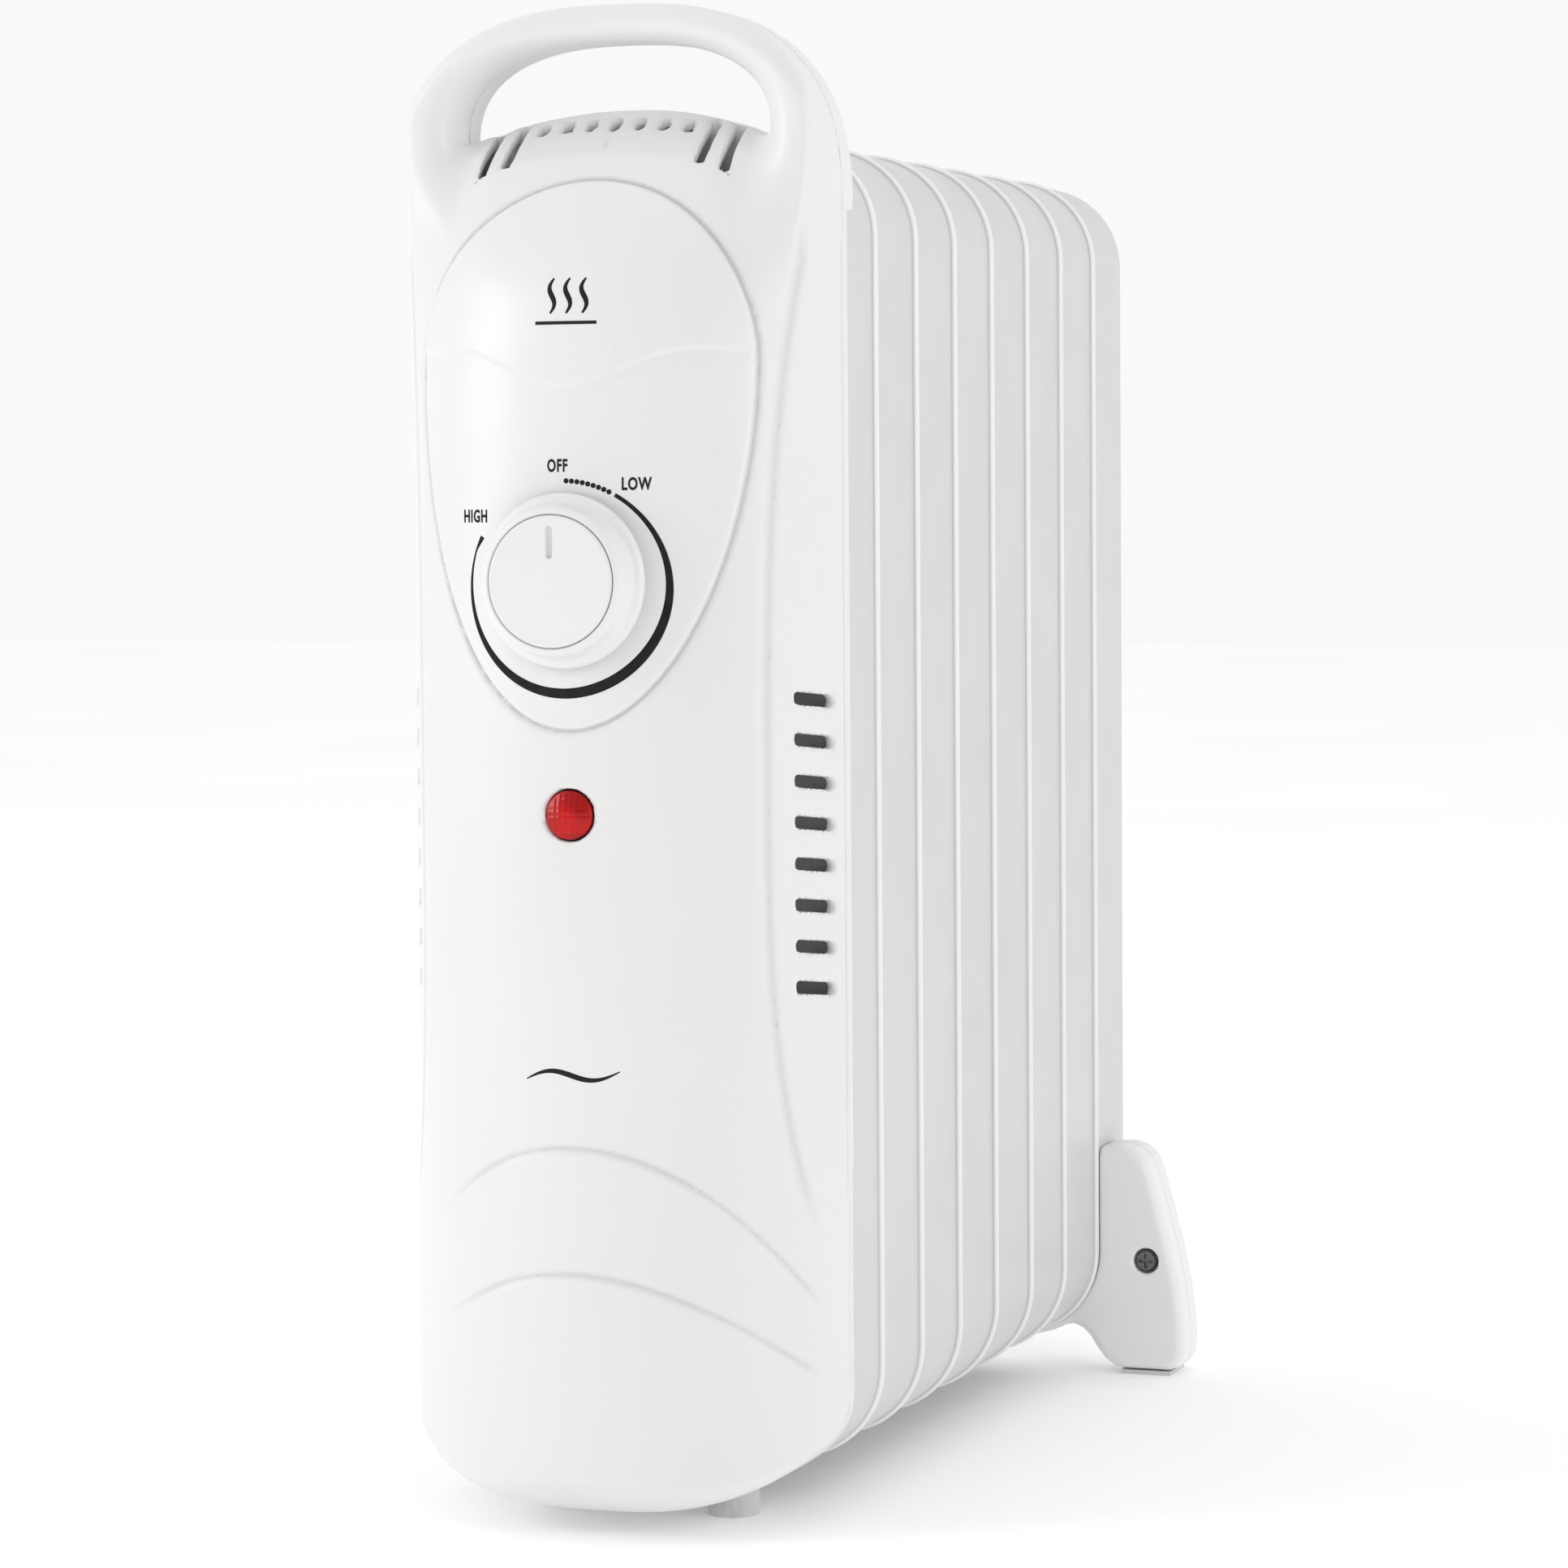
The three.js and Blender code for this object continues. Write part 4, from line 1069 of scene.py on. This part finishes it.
def steel_shroud():
    """The painted ring between the back cover and the first fin."""
    ring = sweep(outline_path(), flange_profile(RIM_Y + 1.2, FIN_1_Y - 1.5, 1.2, 0.4), True)
    obj = mesh_object("steel_shroud_skin", *gather([ring]), LOOKS["fin_paint"], sharp_deg=40)
    outward(obj)
    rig.replaces(obj, "steel_shroud")
    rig.slot(obj, "fin_paint")


steel_shroud()


# ---- rear foot ---------------------------------------------------------------------------
FOOT_FRONT = FIN_1_Y + PITCH * (FINS - 1) + 2.4
FOOT_SPLIT = FOOT_FRONT + 9
FOOT_BACK = FOOT_FRONT + 18.6
FOOT_BOLT = (72.0, 38.5)
FOOT_HALF_OUTLINE = [
    (0, 17), (29, 17), (33, 14.4), (38, 14.8), (43, 16.2), (47, 18), (49.5, 18.4), (52, 17.4), (54.2, 15.4),
    (56.6, 11.6), (59, 8.6), (61.8, 6.6), (65, 6), (78.4, 6), (81.2, 7), (82.8, 9.4), (83.5, 13.5),
    (83.2, 20), (81.9, 31), (79.4, 43), (76.2, 55), (73.8, 64), (71.8, 68.6), (68.6, 71.4), (64.5, 72.4),
    (59, 71.8), (50, 71)]
FOOT_BAR = [(-33.6, 22), (-33.6, 14.4), (-29, 17), (29, 17), (33.6, 14.4), (33.6, 22)]


def polygon_field(points, x, z):
    """Signed distance to a polygon in the front view, negative inside."""
    nearest, inside = np.inf, np.zeros(np.broadcast(x, z).shape, bool)
    for (ax, az), (bx, bz) in zip(points, points[1:] + points[:1]):
        ex, ez = bx - ax, bz - az
        t = np.clip(((x - ax) * ex + (z - az) * ez) / (ex * ex + ez * ez), 0, 1)
        nearest = np.minimum(nearest, np.hypot(x - ax - t * ex, z - az - t * ez))
        if ez:
            crosses = ((az > z) != (bz > z)) & (x < ex * (z - az) / ez + ax)
            inside = inside ^ crosses
    return np.where(inside, -nearest, nearest)


FOOT_OUTLINE = FOOT_HALF_OUTLINE + [(-x, z) for x, z in FOOT_HALF_OUTLINE[:0:-1]]


def foot_field(x, y, z):
    """Both halves of the rear foot as one block: legs outside the last fin, a bar inside its air gap."""
    middle, half = (FOOT_FRONT + FOOT_BACK) / 2, (FOOT_BACK - FOOT_FRONT) / 2
    slab = np.abs(y - middle) - half
    legs = round_max(round_max(polygon_field(FOOT_OUTLINE, x, z), slab, 3.2), -fin_rect_field(x, z, 0.4), 0.8)
    bar = round_max(polygon_field(FOOT_BAR, x, z), slab, 1.2)
    screw = np.hypot(np.abs(x) - FOOT_BOLT[0], z - FOOT_BOLT[1])
    recess = np.minimum(screw - 2.2, round_max(screw - 3.8, y - FOOT_FRONT - 3, 0.2))
    return round_max(np.minimum(legs, bar), -recess, 0.5)


def foot_half(name, near, far):
    """One half of the rear foot, cut from the block between two planes across Y."""
    def field(x, y, z):
        return round_max(foot_field(x, y, z), np.maximum(near - y, y - far), 0.35)

    obj = skin_object(f"{name}_skin", field, (-88, near - 1.5, 1), (88, far + 1.5, 75), 0.85,
                      LOOKS["foot_plastic"], sharp_deg=50)
    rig.replaces(obj, name)
    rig.slot(obj, "foot_plastic")


foot_half("rear_foot_front_half", FOOT_FRONT, FOOT_SPLIT - SPLIT_HALF_GAP)
foot_half("rear_foot_rear_half", FOOT_SPLIT + SPLIT_HALF_GAP, FOOT_BACK)


# ---- floor, light and camera -------------------------------------------------------------
def plain_floor():
    """A pale floor that glows faintly, so that its far edge melts into the surround."""
    mesh = bpy.data.meshes.new("floor")
    mesh.from_pydata([(-6, -6, 0), (6, -6, 0), (6, 6, 0), (-6, 6, 0)], [], [(0, 1, 2, 3)])
    s = Shader("floor_look")
    tone = s.ramp(s.noise(3, 2), [(0.3, (0.93, 0.93, 0.93)), (0.7, (0.96, 0.96, 0.96))])
    s.link(tone, s.bsdf.inputs["Base Color"])
    s.bsdf.inputs["Roughness"].default_value = 0.9
    s.bsdf.inputs["Specular IOR Level"].default_value = 0.1
    s.bsdf.inputs["Emission Color"].default_value = (1, 1, 1, 1)
    s.bsdf.inputs["Emission Strength"].default_value = 0.16
    mesh.materials.append(s.material)
    floor = bpy.data.objects.new("floor", mesh)
    bpy.context.scene.collection.objects.link(floor)
    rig.stage(floor)


def softbox(name, place, target, size, watts):
    """A rectangular area light aimed from one place at another."""
    data = bpy.data.lights.new(name, "AREA")
    data.shape = "RECTANGLE"
    data.size, data.size_y = size
    data.energy = watts
    lamp = bpy.data.objects.new(name, data)
    lamp.location = place
    lamp.rotation_euler = (Vector(target) - Vector(place)).to_track_quat("-Z", "Y").to_euler()
    bpy.context.scene.collection.objects.link(lamp)


def pale_world(strength, front_shade):
    """A white surround that is darker on the viewer's side, so that rounded whites show their form."""
    world = bpy.data.worlds.new("pale_world")
    world.use_nodes = True
    tree = world.node_tree
    facing = tree.nodes.new("ShaderNodeVectorMath")
    facing.operation = "DOT_PRODUCT"
    facing.inputs[1].default_value = (0.40, -0.91, 0.12)
    tree.links.new(tree.nodes.new("ShaderNodeTexCoord").outputs["Generated"], facing.inputs[0])
    dim = tree.nodes.new("ShaderNodeMapRange")
    dim.inputs["From Min"].default_value = 0.15
    dim.inputs["From Max"].default_value = 0.9
    dim.inputs["To Min"].default_value = strength
    dim.inputs["To Max"].default_value = strength * (1 - front_shade)
    tree.links.new(facing.outputs["Value"], dim.inputs["Value"])
    tree.links.new(dim.outputs["Result"], tree.nodes["Background"].inputs["Strength"])
    tree.nodes["Background"].inputs["Color"].default_value = (1, 1, 1, 1)
    bpy.context.scene.world = world


def camera():
    """The camera at 20 degrees to the right of the front, a little above the knob."""
    azimuth, pitch, roll = math.radians(20), math.radians(3.6), math.radians(-0.45)
    level = math.cos(pitch)
    back = Vector((math.sin(azimuth) * level, -math.cos(azimuth) * level, math.sin(pitch)))
    right = Vector((math.cos(azimuth), math.sin(azimuth), 0))
    up = back.cross(right)
    x_axis = math.cos(roll) * right + math.sin(roll) * up
    y_axis = math.cos(roll) * up - math.sin(roll) * right
    data = bpy.data.cameras.new("camera")
    data.sensor_width = 36
    data.lens = 113.8
    data.clip_start = 0.01
    eye = bpy.data.objects.new("camera", data)
    turn = Matrix((x_axis, y_axis, back)).transposed().to_4x4()
    eye.matrix_world = Matrix.Translation((0.4683, -1.2705, 0.2668)) @ turn
    bpy.context.scene.collection.objects.link(eye)
    bpy.context.scene.camera = eye


plain_floor()
pale_world(0.95, 0.5)
softbox("left", (-2.3, -1.5, 1.0), (0, -0.1, 0.2), (1.0, 1.8), 22)
softbox("right", (2.6, -1.3, 0.8), (0, 0, 0.2), (0.9, 1.8), 17)
softbox("top", (0.1, 0.2, 2.4), (0, 0, 0.2), (1.4, 1.4), 3)
camera()
bpy.context.scene.view_settings.view_transform = "Standard"

with open("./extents.json") as f:
    size = json.load(f)
size["visual"] = [list(corner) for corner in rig.bounds()]
with open("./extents.json", "w") as f:
    json.dump(size, f)
